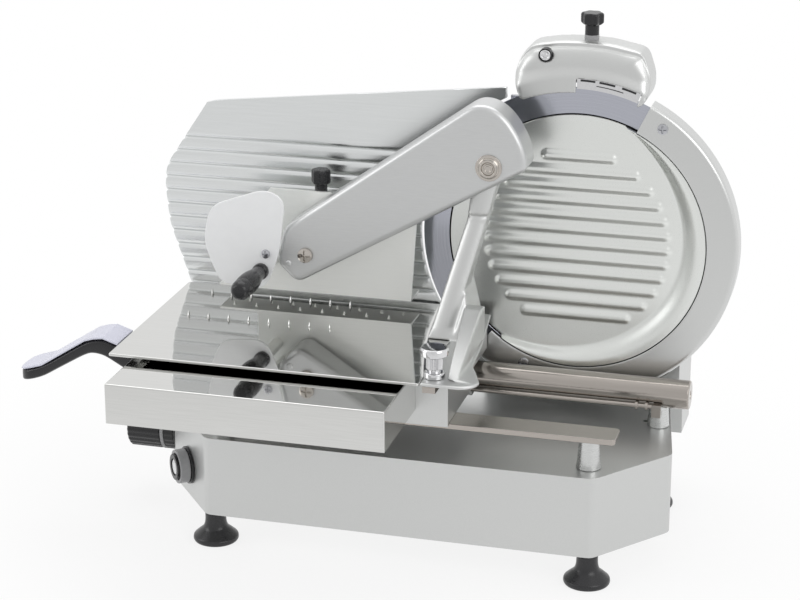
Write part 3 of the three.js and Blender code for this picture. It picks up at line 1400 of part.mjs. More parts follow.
const sharpenerGroup = group(
  piece('sharpener_housing', sharpenerHousing(), castSilver),
  sharpenerKnobPiece,
  piece('grinding_stone', stone(grindStone, bladeBackY + grindStone.behind), stoneGrit),
  piece('honing_stone', stone(honeStone, cutY - honeStone.before - honeStone.width), stoneGrit),
  piece('stone_push_button', stonePushButton(), mirrorSteel),
);
const pressGroup = group(
  piece('press_plate', pressPlate(), satinSteel),
  piece('hand_guard', handGuard(), whitePlastic),
  piece('press_handle', pressHandle(), blackPlastic),
  piece('guard_screw', headedBolt(
    guard.screwX, guard.screwZ, guard.screwRadius, guard.screwHead, guard.screwShank,
    guard.front, guard.screwDepth,
  ), satinSteel),
  lockKnobPiece,
);
const armGroup = group(
  piece('arm_cover', armCover(), castSilver),
  piece('pivot_bolt', headedBolt(
    pivotX, pivotZ, arm.boltRadius, arm.boltHead, arm.shankRadius, arm.front, arm.shankDepth,
  ), satinSteel),
  piece('press_screw', headedBolt(
    hingeX, hingeZ, press.screwRadius, press.screwHead, press.shankRadius, arm.front, press.shankDepth,
  ), satinSteel),
  pressGroup,
);
const tableGroup = group(
  piece('meat_plate', meatPlate(), mirrorSteel),
  piece('column', column(), castSilver),
  piece('table_lock_knob', tableLockKnob(), mirrorSteel),
  armGroup,
);
const carriageGroup = group(
  piece('carriage_block', carriageBlock(), castSilver),
  piece('carriage_bush', carriageBush(), whitePlastic),
  piece('front_shelf', frontShelf(), mirrorSteel),
  piece('grip_body', gripBody(), blackPlastic),
  piece('grip_inlay', gripInlay(), paleInlay),
  piece('cross_slide', crossSlide(), polishedSteel),
  tableGroup,
);

const machine = group(
  frame, bladeGroup, rotorGroup, gaugeGroup, thicknessGroup, switchGroup, sharpenerGroup, carriageGroup,
);

// The origin goes to the middle of the footprint, on the bench
const extent = new THREE.Box3().setFromObject(machine);
const middle = extent.getCenter(new THREE.Vector3());
machine.position.set(-middle.x, -middle.y, -extent.min.z);

const slicer = group(machine);

export default slicer;
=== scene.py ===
import bmesh
import bpy
import numpy as np
from mathutils import Matrix, Vector


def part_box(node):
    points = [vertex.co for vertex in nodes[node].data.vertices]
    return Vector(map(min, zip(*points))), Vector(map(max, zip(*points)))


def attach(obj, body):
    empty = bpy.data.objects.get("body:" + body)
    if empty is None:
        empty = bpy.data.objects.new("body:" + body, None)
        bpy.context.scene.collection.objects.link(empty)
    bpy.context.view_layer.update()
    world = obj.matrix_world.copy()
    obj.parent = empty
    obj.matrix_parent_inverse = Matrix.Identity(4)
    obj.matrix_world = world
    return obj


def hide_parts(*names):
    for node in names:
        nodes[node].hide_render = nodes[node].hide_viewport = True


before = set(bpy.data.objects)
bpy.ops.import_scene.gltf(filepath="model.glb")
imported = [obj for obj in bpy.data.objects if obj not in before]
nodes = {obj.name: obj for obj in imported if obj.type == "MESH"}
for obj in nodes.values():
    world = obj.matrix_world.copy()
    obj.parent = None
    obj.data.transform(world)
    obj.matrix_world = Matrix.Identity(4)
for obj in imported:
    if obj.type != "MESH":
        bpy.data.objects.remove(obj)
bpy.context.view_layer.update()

scene = bpy.context.scene

# Drawing frame
# Sizes are written in millimetres: X to the right from the middle of the base, Y to the back from
# its front face, Z up from the bench. The bottom plate, a wall inside the base, fixes the origin.
MM = 0.001
PLATE_INSET = 4.3
plate_low, plate_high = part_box("bottom_plate")
drawing_origin = np.array([(plate_low.x + plate_high.x) / 2, plate_low.y - PLATE_INSET * MM, 0.0])


def in_frame(points):
    """Drawing millimetres to frame metres: each point times a thousandth, plus the origin."""
    return np.asarray(points, float) * MM + drawing_origin


# Camera
# Where the photographer stood, worked out from the machine's own sizes: a little to the right of
# the front, looking down by a fifth of a right angle from more than two metres away.
LENS = 103.56
SENSOR = 36.0
AZIMUTH, ELEVATION, ROLL = np.radians([15.08, 18.97, 0.11])
eye = in_frame([589.88, -2168.48, 1073.55])
back = np.array([
    np.sin(AZIMUTH) * np.cos(ELEVATION), -np.cos(AZIMUTH) * np.cos(ELEVATION), np.sin(ELEVATION),
])
level = np.array([np.cos(AZIMUTH), np.sin(AZIMUTH), 0.0])
upright = np.cross(back, level)
right = np.cos(ROLL) * level + np.sin(ROLL) * upright
up = np.cos(ROLL) * upright - np.sin(ROLL) * level
camera = bpy.data.objects.new("camera", bpy.data.cameras.new("camera"))
camera.data.lens = LENS
camera.data.sensor_width = SENSOR
camera.data.clip_start, camera.data.clip_end = 0.1, 50.0
camera.matrix_world = Matrix([
    [right[i], up[i], back[i], eye[i]] for i in range(3)
] + [[0.0, 0.0, 0.0, 1.0]])
scene.collection.objects.link(camera)
scene.camera = camera
scene.view_settings.view_transform = "Standard"

# Studio
# A white bench and sweep under soft boxes. The world is white where the camera, a mirror or glass
# looks at it, and a dimmer, even light for everything else. Mirrors see its front side dimmed.


def linear(colour):
    """An sRGB hex string as linear red, green, blue and an alpha of one."""
    parts = np.array([int(colour[i:i + 2], 16) for i in (1, 3, 5)]) / 255
    return (*np.where(parts <= 0.04045, parts / 12.92, ((parts + 0.055) / 1.055) ** 2.4), 1.0)


def add(tree, kind, inputs=None, **settings):
    """Adds one node with its settings. Inputs are values, or the outputs of other nodes."""
    made = tree.nodes.new(kind)
    for name, value in settings.items():
        setattr(made, name, value)
    for socket, value in (inputs or {}).items():
        if isinstance(value, bpy.types.NodeSocket):
            tree.links.new(value, made.inputs[socket])
        else:
            made.inputs[socket].default_value = value
    return made


def seen_white(tree, dimmed_front):
    """The strength of white for each ray: one for the camera and through glass. Reflections see it
    dimmed in front of the machine, where the photographer's room is."""
    ray = add(tree, "ShaderNodeLightPath")
    seen = add(tree, "ShaderNodeMath", {
        0: ray.outputs["Is Camera Ray"], 1: ray.outputs["Is Transmission Ray"],
    }, operation="MAXIMUM")
    strength = add(tree, "ShaderNodeMix", {0: seen.outputs[0], 2: dimmed_front, 3: 1.0})
    share = add(tree, "ShaderNodeMath", {
        0: seen.outputs[0], 1: ray.outputs["Is Glossy Ray"],
    }, operation="MAXIMUM")
    return strength.outputs[0], share.outputs[0]


ROOM_WHITE = 0.82
world = bpy.data.worlds.new("white_studio")
world.use_nodes = True
world.node_tree.nodes.clear()
world_side = add(world.node_tree, "ShaderNodeSeparateXYZ", {
    0: add(world.node_tree, "ShaderNodeTexCoord").outputs["Generated"],
})
world_front = add(world.node_tree, "ShaderNodeMapRange", {
    0: world_side.outputs["Y"], 1: -0.85, 2: -0.1, 3: ROOM_WHITE, 4: 1.0,
}, interpolation_type="SMOOTHSTEP")
white_strength, white_share = seen_white(world.node_tree, world_front.outputs[0])
even, white = [
    add(world.node_tree, "ShaderNodeBackground", {"Color": linear("#ffffff"), "Strength": strength})
    for strength in (0.62, white_strength)
]
both = add(world.node_tree, "ShaderNodeMixShader", {
    0: white_share, 1: even.outputs[0], 2: white.outputs[0],
})
add(world.node_tree, "ShaderNodeOutputWorld", {"Surface": both.outputs[0]})
scene.world = world


def soft_box(name, width, height, watts, place, target):
    """A rectangular lamp at a place in metres, facing a target."""
    lamp = bpy.data.lights.new(name, "AREA")
    lamp.shape = "RECTANGLE"
    lamp.size, lamp.size_y = width, height
    lamp.energy = watts
    stand = bpy.data.objects.new(name, lamp)
    towards = Vector(target) - Vector(place)
    stand.rotation_euler = towards.to_track_quat("-Z", "Y").to_euler()
    stand.location = place
    scene.collection.objects.link(stand)


soft_box("key_box", 1.6, 1.6, 15.0, (2.0, -1.3, 1.7), (0.0, 0.0, 0.2))
soft_box("top_box", 2.2, 1.6, 15.0, (-0.2, 0.8, 2.2), (0.0, 0.0, 0.2))
soft_box("left_box", 1.0, 1.4, 9.0, (-2.2, -0.9, 1.3), (0.0, 0.0, 0.2))


def start_material(name, **shader_values):
    """A new material of one principled shader. Words of the values' names are joined by _."""
    made = bpy.data.materials.new(name)
    made.use_nodes = True
    tree = made.node_tree
    tree.nodes.clear()
    values = {key.replace("_", " "): value for key, value in shader_values.items()}
    shader = add(tree, "ShaderNodeBsdfPrincipled", values)
    add(tree, "ShaderNodeOutputMaterial", {"Surface": shader.outputs["BSDF"]})
    return made, tree, shader


def skin(name, patches=(), rings=(), weld=0.002):
    """One closed mesh from grids of drawing points. Each grid gives a face between a point and its
    next neighbours along both parameters, and each ring gives one flat face. Points nearer than
    weld become one, and the faces are turned outwards."""
    corners, faces, count = [], [], 0
    for patch in patches:
        rows, columns = patch.shape[:2]
        index = np.arange(rows * columns).reshape(rows, columns) + count
        quads = np.stack([index[:-1, :-1], index[:-1, 1:], index[1:, 1:], index[1:, :-1]], -1)
        corners.append(patch.reshape(-1, 3))
        faces.extend(quads.reshape(-1, 4).tolist())
        count += rows * columns
    for ring in rings:
        corners.append(ring)
        faces.append(list(range(count, count + len(ring))))
        count += len(ring)
    mesh = bpy.data.meshes.new(name)
    mesh.from_pydata(in_frame(np.concatenate(corners)).tolist(), [], faces)
    tidy = bmesh.new()
    tidy.from_mesh(mesh)
    bmesh.ops.remove_doubles(tidy, verts=tidy.verts, dist=weld * MM)
    bmesh.ops.dissolve_degenerate(tidy, edges=tidy.edges, dist=weld * MM / 4)
    bmesh.ops.recalc_face_normals(tidy, faces=tidy.faces)
    tidy.to_mesh(mesh)
    tidy.free()
    piece = bpy.data.objects.new(name, mesh)
    scene.collection.objects.link(piece)
    return piece


def fit(piece, body, slot, finish, *stands_for, crease=32):
    """Gives a piece its finish, shades it smooth except at edges sharper than the crease in
    degrees, and mounts it on its body in place of the solids that it stands for. Where the faces
    are few, the large ones rule the shading, which keeps them flat."""
    piece.data.materials.clear()
    piece.data.materials.append(finish)
    piece.data.polygons.foreach_set("use_smooth", np.ones(len(piece.data.polygons), bool))
    piece.data.set_sharp_from_angle(angle=np.radians(crease))
    if len(piece.data.polygons) < 9000:
        weighted = piece.modifiers.new("even_normals", "WEIGHTED_NORMAL")
        weighted.keep_sharp = True
        weighted.weight = 100
    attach(piece, body)
    if stands_for:
        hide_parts(*stands_for)
    return piece


bench = skin("bench", rings=[np.array([
    [-9000, -9000, 0], [9000, -9000, 0], [9000, 9000, 0], [-9000, 9000, 0],
], float)])
# Matt white studio paper: an even white that keeps a soft shadow under the machine and fades to
# pure white away from it.
paper, paper_tree, paper_shader = start_material(
    "matt_white_studio_paper", Base_Color=linear("#fafafa"), Roughness=0.9, Specular_IOR_Level=0.1,
)
paper_place = add(paper_tree, "ShaderNodeTexCoord")
paper_side = add(paper_tree, "ShaderNodeSeparateXYZ", {0: paper_place.outputs["Object"]})
paper_front = add(paper_tree, "ShaderNodeMapRange", {
    0: paper_side.outputs["Y"], 1: -1.2, 2: -0.35, 3: ROOM_WHITE, 4: 1.0,
}, interpolation_type="SMOOTHSTEP")
paper_reach = add(paper_tree, "ShaderNodeVectorMath", {
    0: paper_place.outputs["Object"],
}, operation="LENGTH")
paper_far = add(paper_tree, "ShaderNodeMapRange", {
    0: paper_reach.outputs["Value"], 1: 0.3, 2: 0.7, 3: 0.82, 4: 1.0,
}, interpolation_type="SMOOTHSTEP")
paper_strength, paper_seen = seen_white(paper_tree, paper_front.outputs[0])
paper_share = add(paper_tree, "ShaderNodeMath", {
    0: paper_seen, 1: paper_far.outputs[0],
}, operation="MULTIPLY")
paper_glow = add(paper_tree, "ShaderNodeEmission", {
    "Color": linear("#ffffff"), "Strength": paper_strength,
})
paper_sum = add(paper_tree, "ShaderNodeMixShader", {
    0: paper_share.outputs[0], 1: paper_shader.outputs["BSDF"], 2: paper_glow.outputs[0],
})
paper_tree.links.new(paper_sum.outputs[0], paper_tree.nodes["Material Output"].inputs["Surface"])
bench.data.materials.append(paper)

# Base
# A low box cast in aluminium and satin anodised, with its front corners cut off and a soft edge
# round its top. A thin steel plate closes it from below.


def pattern(tree, size, stretch=(1.0, 1.0, 1.0), turn=0.0, detail=2.0, roughness=0.5):
    """Noise on object coordinates whose grains are size millimetres wide, and longer by stretch
    along each axis after a turn about Y."""
    place = add(tree, "ShaderNodeTexCoord")
    scale = [1 / (size * MM * s) for s in stretch]
    mapped = add(tree, "ShaderNodeMapping", {
        "Vector": place.outputs["Object"], "Rotation": (0.0, turn, 0.0), "Scale": scale,
    })
    return add(tree, "ShaderNodeTexNoise", {
        "Vector": mapped.outputs[0], "Scale": 1.0, "Detail": detail, "Roughness": roughness,
    }).outputs[0]


def spread(tree, value, low, high):
    """A pattern's middle range stretched from low to high."""
    return add(tree, "ShaderNodeMapRange", {0: value, 1: 0.3, 2: 0.7, 3: low, 4: high}).outputs[0]


def worked_metal(
    name, dark, light, rough_low, rough_high, grain, stretch=(1, 1, 1), bump=0.02, turn=0.0, metal=1.0,
):
    """Bare metal: a fine grain carries two near tones, the roughness and the bump."""
    made, tree, shader = start_material(name, Metallic=metal)
    fine = pattern(tree, grain, stretch=stretch, turn=turn, detail=3.0)
    tones = add(tree, "ShaderNodeMix", {
        "Factor": spread(tree, fine, 0.0, 1.0), 6: linear(dark), 7: linear(light),
    }, data_type="RGBA")
    relief = add(tree, "ShaderNodeBump", {"Height": fine, "Strength": 0.5, "Distance": bump * MM})
    tree.links.new(tones.outputs[2], shader.inputs["Base Color"])
    tree.links.new(spread(tree, fine, rough_low, rough_high), shader.inputs["Roughness"])
    tree.links.new(relief.outputs[0], shader.inputs["Normal"])
    return made


# Satin anodised cast aluminium: pale grey, an even soft sheen from a fine blasted grain. The grain
# is about 0.1 mm on the real casting and is drawn at 0.5 mm to show.
anodised_aluminium = worked_metal(
    "satin_anodised_aluminium", "#cbcccb", "#d1d2d1", 0.34, 0.42, 0.5, bump=0.010, metal=0.85,
)


def merged_copy(node, name, whole_faces):
    """A copy of a solid with its corners joined and, where asked, its flat faces made whole."""
    piece = bpy.data.objects.new(name, nodes[node].data.copy())
    scene.collection.objects.link(piece)
    work = bmesh.new()
    work.from_mesh(piece.data)
    bmesh.ops.remove_doubles(work, verts=work.verts, dist=0.002 * MM)
    if whole_faces:
        bmesh.ops.dissolve_limit(
            work, angle_limit=np.radians(0.7), verts=work.verts, edges=work.edges,
        )
    work.to_mesh(piece.data)
    work.free()
    return piece


def corners_of(mesh):
    """A mesh's corners in drawing millimetres."""
    places = np.zeros(len(mesh.vertices) * 3)
    mesh.vertices.foreach_get("co", places)
    return (places.reshape(-1, 3) - drawing_origin) / MM


def dressed(node, name, body, slot, finish, soften=0.6, chosen=None, segments=3):
    """A merged copy of a solid with its edges rounded. soften is the width in millimetres, on every
    edge or only on those that chosen(a, b) picks by their ends."""
    piece = merged_copy(node, name, True)
    mesh = piece.data
    bevel = piece.modifiers.new("soft_edges", "BEVEL")
    bevel.width = soften * MM
    bevel.segments = segments
    bevel.limit_method = "ANGLE"
    bevel.angle_limit = np.radians(38)
    if chosen is not None:
        ends = np.zeros(len(mesh.edges) * 2, int)
        mesh.edges.foreach_get("vertices", ends)
        places = corners_of(mesh)
        picked = mesh.attributes.new("bevel_weight_edge", "FLOAT", "EDGE")
        weights = chosen(places[ends[0::2]], places[ends[1::2]])
        picked.data.foreach_set("value", weights.astype(np.float32))
        bevel.limit_method = "WEIGHT"
    return fit(piece, body, slot, finish, node)


BASE_TOP = 124.0
BASE_DEPTH = 262.0


def on_level(a, b, axis, value, slack=0.05):
    """Edges that lie wholly at one place along an axis."""
    return (abs(a[:, axis] - value) < slack) & (abs(b[:, axis] - value) < slack)


def base_rim(a, b):
    """The outer edge of the base's top, and nothing round the holes in it."""
    middle = (a + b) / 2
    side = abs(middle[:, 0]) > 248
    front = (middle[:, 1] < 88) & (abs(middle[:, 0]) - 213 > (middle[:, 1] - 8) * 69 / 88 - 6)
    edge = side | front | (middle[:, 1] < 3) | (middle[:, 1] > 259)
    return on_level(a, b, 2, BASE_TOP) & edge


dressed(
    "base_housing", "base_casting", "frame", "cast_aluminium", anodised_aluminium,
    soften=4.0, chosen=base_rim, segments=5,
)
# Satin stainless sheet: a cooler grey with a fine lengthwise grain from the rolls.
satin_steel = worked_metal(
    "satin_stainless_sheet", "#d6d7d5", "#dfe0de", 0.22, 0.32, 0.4, stretch=(30, 1, 1), bump=0.006,
)
dressed("bottom_plate", "base_plate", "frame", "satin_steel", satin_steel, soften=0.4)

# Feet
# Four flared feet moulded in black rubber: a wide floor ring, a domed flange and a narrow neck
# that screws into the base. Their skin is smooth and shines where it is curved.


def grained_black(name, colour, grain, rough_low, rough_high, strength, relief, **shader_values):
    """Nearly black rubber or plastic, with a fine grain in its gloss and its surface."""
    made, tree, shader = start_material(name, Base_Color=linear(colour), **shader_values)
    fine = pattern(tree, grain, detail=3.0)
    bump = add(tree, "ShaderNodeBump", {"Height": fine, "Strength": strength, "Distance": relief * MM})
    tree.links.new(spread(tree, fine, rough_low, rough_high), shader.inputs["Roughness"])
    tree.links.new(bump.outputs[0], shader.inputs["Normal"])
    return made


moulded_rubber = grained_black(
    "moulded_black_rubber", "#1c1c1f", 0.8, 0.24, 0.36, 0.3, 0.02, Specular_IOR_Level=0.55,
)


def eased(outline, radius, steps=5, closed=False):
    """Each corner becomes a curve (1-t)^2 a + 2t(1-t) c + t^2 b, where a and b lie a radius before
    and after the corner c, and never past the middle of a side."""
    corners = np.asarray(outline, float)
    reach = np.broadcast_to(np.reshape(radius, (-1, 1)), (len(corners), 1))

    def towards(other):
        gap = other - corners
        length = np.maximum(np.linalg.norm(gap, axis=1, keepdims=True), 1e-9)
        return (corners + gap * np.minimum(reach / length, 0.49))[:, None]

    t = np.linspace(0, 1, steps + 1)[None, :, None]
    before, after = towards(np.roll(corners, 1, 0)), towards(np.roll(corners, -1, 0))
    soft = (1 - t) ** 2 * before + 2 * t * (1 - t) * corners[:, None] + t ** 2 * after
    if not closed:
        soft[0], soft[-1] = corners[0], corners[-1]
    return soft.reshape(-1, 2)


def square_to(axis):
    """A unit axis and two unit directions square to it."""
    axis = np.array(axis, float) / np.linalg.norm(axis)
    across = np.cross([0, 1, 0] if abs(axis[2]) > 0.9 else [0, 0, 1], axis)
    across /= np.linalg.norm(across)
    return axis, across, np.cross(axis, across)


def turned(profile, foot, axis, sides=96):
    """A profile of radius r and height h turned about a line: foot + h axis + r (cos t a + sin t b),
    where a and b are square to the axis and t goes once round."""
    axis, across, other = square_to(axis)
    r, h = np.asarray(profile, float).T[:, :, None, None]
    t = np.linspace(0, 2 * np.pi, sides + 1)[None, :, None]
    return np.array(foot, float) + h * axis + r * (np.cos(t) * across + np.sin(t) * other)


X, Y, Z = np.eye(3)
FOOT_PLACES = [(-207, 13), (207, 13), (-240, 232), (240, 232)]
foot_profile = np.concatenate([
    eased([(0, 0.6), (19, 0.6), (21, 0), (23.6, 0), (25, 2.5), (24.6, 6), (19.5, 10.5)], 1.2),
    eased([(19.5, 10.5), (13.6, 15.5), (11.8, 21), (11.4, 27), (11.5, 33.7), (0, 33.7)], 3.0),
])
for number, (x, y) in enumerate(FOOT_PLACES, 1):
    rubber_foot = skin(f"rubber_foot_{number}", [turned(foot_profile, (x, y, 0), Z, 72)])
    fit(rubber_foot, "frame", "black_rubber", moulded_rubber, f"foot_{number}")

# Cable gland
# A screwed nylon gland low in the back wall, with a hexagon to tighten it. The cord isn't fitted.
# Moulded black plastic: nearly black, with a half gloss that shows a faint orange skin.
moulded_black = grained_black("moulded_black_plastic", "#19191c", 1.6, 0.2, 0.32, 0.35, 0.03, IOR=1.5)
gland_nut = turned(eased([
    (8, 0.3), (12, 0.3), (12, 8), (10.6, 9.4), (10, 15), (8, 16.3), (4, 16.3), (4, -12), (8, -12), (8, 0.3),
], 0.5), (-200, BASE_DEPTH, 60), Y, 48)
fit(skin("gland_nut", [gland_nut]), "frame", "black_plastic", moulded_black, "cable_gland")

# Switch
# A round switch in the cut corner: a black ring on the wall, a grey guard ring, a black throat
# and a pale button inside it.
SWITCH_PLACE = np.array([-248.88, 45.76, 70.0])
SWITCH_AXIS = np.array([-88.0, -69.0, 0.0])


def switch_part(name, profile, softening=0.7):
    """A part of the switch: its profile turned about the switch's line, out from the wall."""
    return skin(name, [turned(eased(profile, softening), SWITCH_PLACE, SWITCH_AXIS, 72)])


fit(switch_part("switch_ring", [
    (9.4, -10), (14.6, -10), (14.6, 0.3), (21, 0.3), (21, 3.2), (14.6, 3.2), (14.6, 18), (9.4, 18),
    (9.4, -10),
]), "frame", "black_plastic", moulded_black, "switch_bezel")


def clouded_plastic(name, dark, light, roughness, cloud):
    """Plastic of one roughness whose colour drifts between two near tones."""
    made, tree, shader = start_material(name, Roughness=roughness)
    tones = add(tree, "ShaderNodeMix", {
        "Factor": pattern(tree, cloud, detail=4.0), 6: linear(dark), 7: linear(light),
    }, data_type="RGBA")
    tree.links.new(tones.outputs[2], shader.inputs["Base Color"])
    return made


# Moulded grey plastic: a matt mid grey.
moulded_grey = clouded_plastic("moulded_grey_plastic", "#98989a", "#a9a9aa", 0.42, 3.0)
fit(switch_part("switch_guard", [
    (14.9, 3.5), (19, 3.5), (19, 15), (14.9, 15), (14.9, 3.5),
], 1.0), "frame", "grey_plastic", moulded_grey, "switch_collar")
# Smooth white plastic: a clean white with a low sheen.
smooth_white = clouded_plastic("smooth_white_plastic", "#f2f3f4", "#f7f8f9", 0.38, 9.0)
fit(switch_part("switch_cap", [
    (0, -6), (9, -6), (9, 16), (8, 17), (5, 16.4), (0, 16.2),
]), "switch", "white_plastic", smooth_white, "switch_button")

# Rails
# A ground round bar behind and a flat bar in front carry the carriage, each on two tapered turned
# posts. Both bars are bright steel, drawn lengthwise, and look faintly brown.
bright_bar = worked_metal(
    "ground_bright_bar", "#aaa49e", "#b0aaa4", 0.15, 0.19, 0.5, stretch=(60, 1, 1), bump=0.002,
)
ROUND_RAIL_Y, ROUND_RAIL_Z = 167.0, 162.5
round_bar = turned(eased([
    (0, -288), (14.8, -288), (16, -286.8), (16, 286.8), (14.8, 288), (5, 288), (4, 286), (0, 286),
], 0.5), (0, ROUND_RAIL_Y, ROUND_RAIL_Z), X, 96)
fit(skin("round_bar", [round_bar]), "frame", "polished_steel", bright_bar, "round_rail")


def counter_clockwise(outline):
    """The outline, turned round if its signed area is below zero."""
    u, v = np.asarray(outline, float).T
    area = np.sum(u * np.roll(v, -1) - np.roll(u, -1) * v)
    return np.asarray(outline, float)[:: 1 if area > 0 else -1]


def moved_in(outline, distance):
    """Each corner moved by distance (n + m) / (1 + n.m), with n and m the inward normals of its
    two sides."""
    side = np.roll(outline, -1, 0) - outline
    side /= np.maximum(np.linalg.norm(side, axis=1, keepdims=True), 1e-9)
    m = np.stack([-side[:, 1], side[:, 0]], 1)
    n = np.roll(m, 1, 0)
    return outline + distance * (n + m) / np.maximum(1 + np.sum(n * m, 1, keepdims=True), 0.3)


PLANES = {"x": [1, 2, 0], "y": [0, 2, 1], "z": [0, 1, 2]}


def both_ends(*grids):
    """The closing faces of grids that come round again to their first column."""
    return [grid[row, :-1] for grid in grids for row in (0, -1)]


def slab(name, outline, axis, low, high, edge=0.8, rear_edge=None, steps=4):
    """A plate: the outline at each step of a quarter turn, moved in by edge (1 - sin a) at a height
    of edge (1 - cos a) above its low face, and the same down from its high face."""
    outline = counter_clockwise(outline)
    a = np.linspace(0, np.pi / 2, steps + 1)
    rear_edge = edge if rear_edge is None else rear_edge
    rows = [(edge * (1 - np.sin(t)), low + edge * (1 - np.cos(t))) for t in a]
    rows += [(rear_edge * (1 - np.sin(t)), high - rear_edge * (1 - np.cos(t))) for t in a[::-1]]
    grid = np.zeros((len(rows), len(outline) + 1, 3))
    for row, (distance, height) in enumerate(rows):
        ring = moved_in(outline, distance)
        points = np.column_stack([ring, np.full(len(ring), height)])
        grid[row, :, PLANES[axis]] = np.vstack([points, points[:1]]).T
    return skin(name, [grid], both_ends(grid))


def box_outline(left, far, low, high):
    """The four corners of a rectangle."""
    return [(left, low), (far, low), (far, high), (left, high)]


FLAT_RAIL_Y, FLAT_RAIL_Z, FLAT_RAIL_TOP = 31.2, 157.75, 163.75
fit(slab(
    "flat_bar", eased(box_outline(-232, 232, FLAT_RAIL_Y - 17.5, FLAT_RAIL_Y + 17.5), 6.0, closed=True),
    "z", FLAT_RAIL_Z, FLAT_RAIL_TOP, edge=0.7,
), "frame", "polished_steel", bright_bar, "flat_rail")
# Turned aluminium: fine rings round each post, drawn at 0.6 mm.
turned_aluminium = worked_metal(
    "turned_aluminium", "#c6c7c6", "#d2d3d2", 0.22, 0.32, 0.6, stretch=(20, 20, 1), bump=0.012,
)
for number, x in enumerate((-202.4, 202.4), 1):
    post = skin(f"flat_bar_post_{number}", [turned(eased([
        (0, 0.3), (13.3, 0.3), (13.0, 2.4), (10.9, 29), (10.6, 33.45), (0, 33.45),
    ], 0.8), (x, FLAT_RAIL_Y, BASE_TOP), Z, 64)])
    fit(post, "frame", "satin_steel", turned_aluminium, f"flat_rail_post_{number}")
for number in (1, 2):
    dressed(
        f"round_rail_post_{number}", f"round_bar_post_{number}", "frame", "satin_steel", turned_aluminium,
        soften=0.4,
    )
dressed("lift_rod", "hold_down_rod", "frame", "polished_steel", bright_bar, soften=0.35, segments=2)

# Drive housing
# A cast box behind the blade for the motor, belt and hub, rounded at its edges, with a flat steel
# cover screwed on behind. The hub, bearings, belt and motor sit inside it.
BLADE_X, BLADE_Z, CUT_Y = 151.0, 315.0, 205.0
HEAD_FRONT, HEAD_REAR = 228.0, 320.0


def head_rim(a, b):
    """The outer edges of the housing's front, away from the bore for the hub."""
    middle = (a + b) / 2
    from_hub = np.hypot(middle[:, 0] - BLADE_X, middle[:, 2] - BLADE_Z)
    return (on_level(a, b, 1, HEAD_FRONT) | on_level(a, b, 1, 262.6)) & (from_hub > 50)


dressed(
    "head_housing", "drive_casting", "frame", "cast_aluminium", anodised_aluminium,
    soften=4.0, chosen=head_rim, segments=4,
)
dressed("rear_cover", "drive_cover", "frame", "satin_steel", satin_steel, soften=0.7)
# Bright turned steel of bearings, shafts and screws.
turned_steel = worked_metal(
    "bright_turned_steel", "#909196", "#a3a4a8", 0.18, 0.3, 0.5, stretch=(20, 1, 20), bump=0.01,
)
# Black belt rubber with a matt ribbed back.
belt_rubber, belt_tree, belt_shader = start_material("ribbed_belt_rubber", Base_Color=linear("#202022"))
belt_tree.links.new(spread(belt_tree, pattern(belt_tree, 1.2), 0.5, 0.7), belt_shader.inputs["Roughness"])
for node, slot_name, finish in [
    ("hub_bearing_front", "bearing_steel", turned_steel), ("hub_bearing_rear", "bearing_steel", turned_steel),
    ("motor_body", "cast_aluminium", anodised_aluminium), ("blade_hub", "bearing_steel", turned_steel),
    ("hub_pulley", "cast_aluminium", turned_aluminium), ("motor_rotor", "bearing_steel", turned_steel),
    ("gauge_guide_shaft", "polished_steel", bright_bar), ("drive_belt", "black_rubber", belt_rubber),
    ("thickness_spindle", "polished_steel", bright_bar), ("cross_slide", "polished_steel", bright_bar),
    ("carriage_bush", "white_plastic", smooth_white),
]:
    nodes[node].data.materials.clear()
    nodes[node].data.materials.append(finish)

# Tie rod
# It draws the blade's cover tight from behind: a rod through the hollow hub, with a round black
# knob that has shallow finger flutes.


def fluted(profile, foot, axis, flutes, depth, sides=160):
    """A turned profile whose radius is cut by depth (1 - cos(flutes t)) / 2 on its outer half."""
    plain = turned(profile, foot, axis, sides)
    r = np.asarray(profile, float)[:, 0]
    t = np.linspace(0, 2 * np.pi, sides + 1)
    share = np.clip(r / r.max() * 2 - 1, 0, 1)[:, None]
    scale = 1 - depth / r.max() * share * (1 - np.cos(flutes * t)) / 2
    centre = np.array(foot, float) + np.outer(np.asarray(profile)[:, 1], axis / np.linalg.norm(axis))
    return centre[:, None] + (plain - centre[:, None]) * scale[..., None]


lid_rear = HEAD_REAR + 2.6
fit(skin("cover_rod", [fluted(eased([
    (0, lid_rear), (16, lid_rear), (18, lid_rear + 2), (18, lid_rear + 19), (15.5, lid_rear + 22),
    (9, lid_rear + 22), (8, lid_rear + 21), (0, lid_rear + 21),
], 0.9), (BLADE_X, 0, BLADE_Z), Y, 12, 1.6)]), "frame", "black_plastic", moulded_black)
fit(skin("cover_rod_core", [turned([
    (0, CUT_Y + 3.4), (4.4, CUT_Y + 3.4), (5, CUT_Y + 4), (5, lid_rear + 0.4), (0, lid_rear + 0.4),
], (BLADE_X, 0, BLADE_Z), Y, 48)]), "frame", "satin_steel", turned_steel, "cover_tie_rod")

# Blade
# A dished round knife of hard chrome steel. Only its ground rim shows between the cover and the
# ring, as a cool grey band. Its grinding runs round the middle.


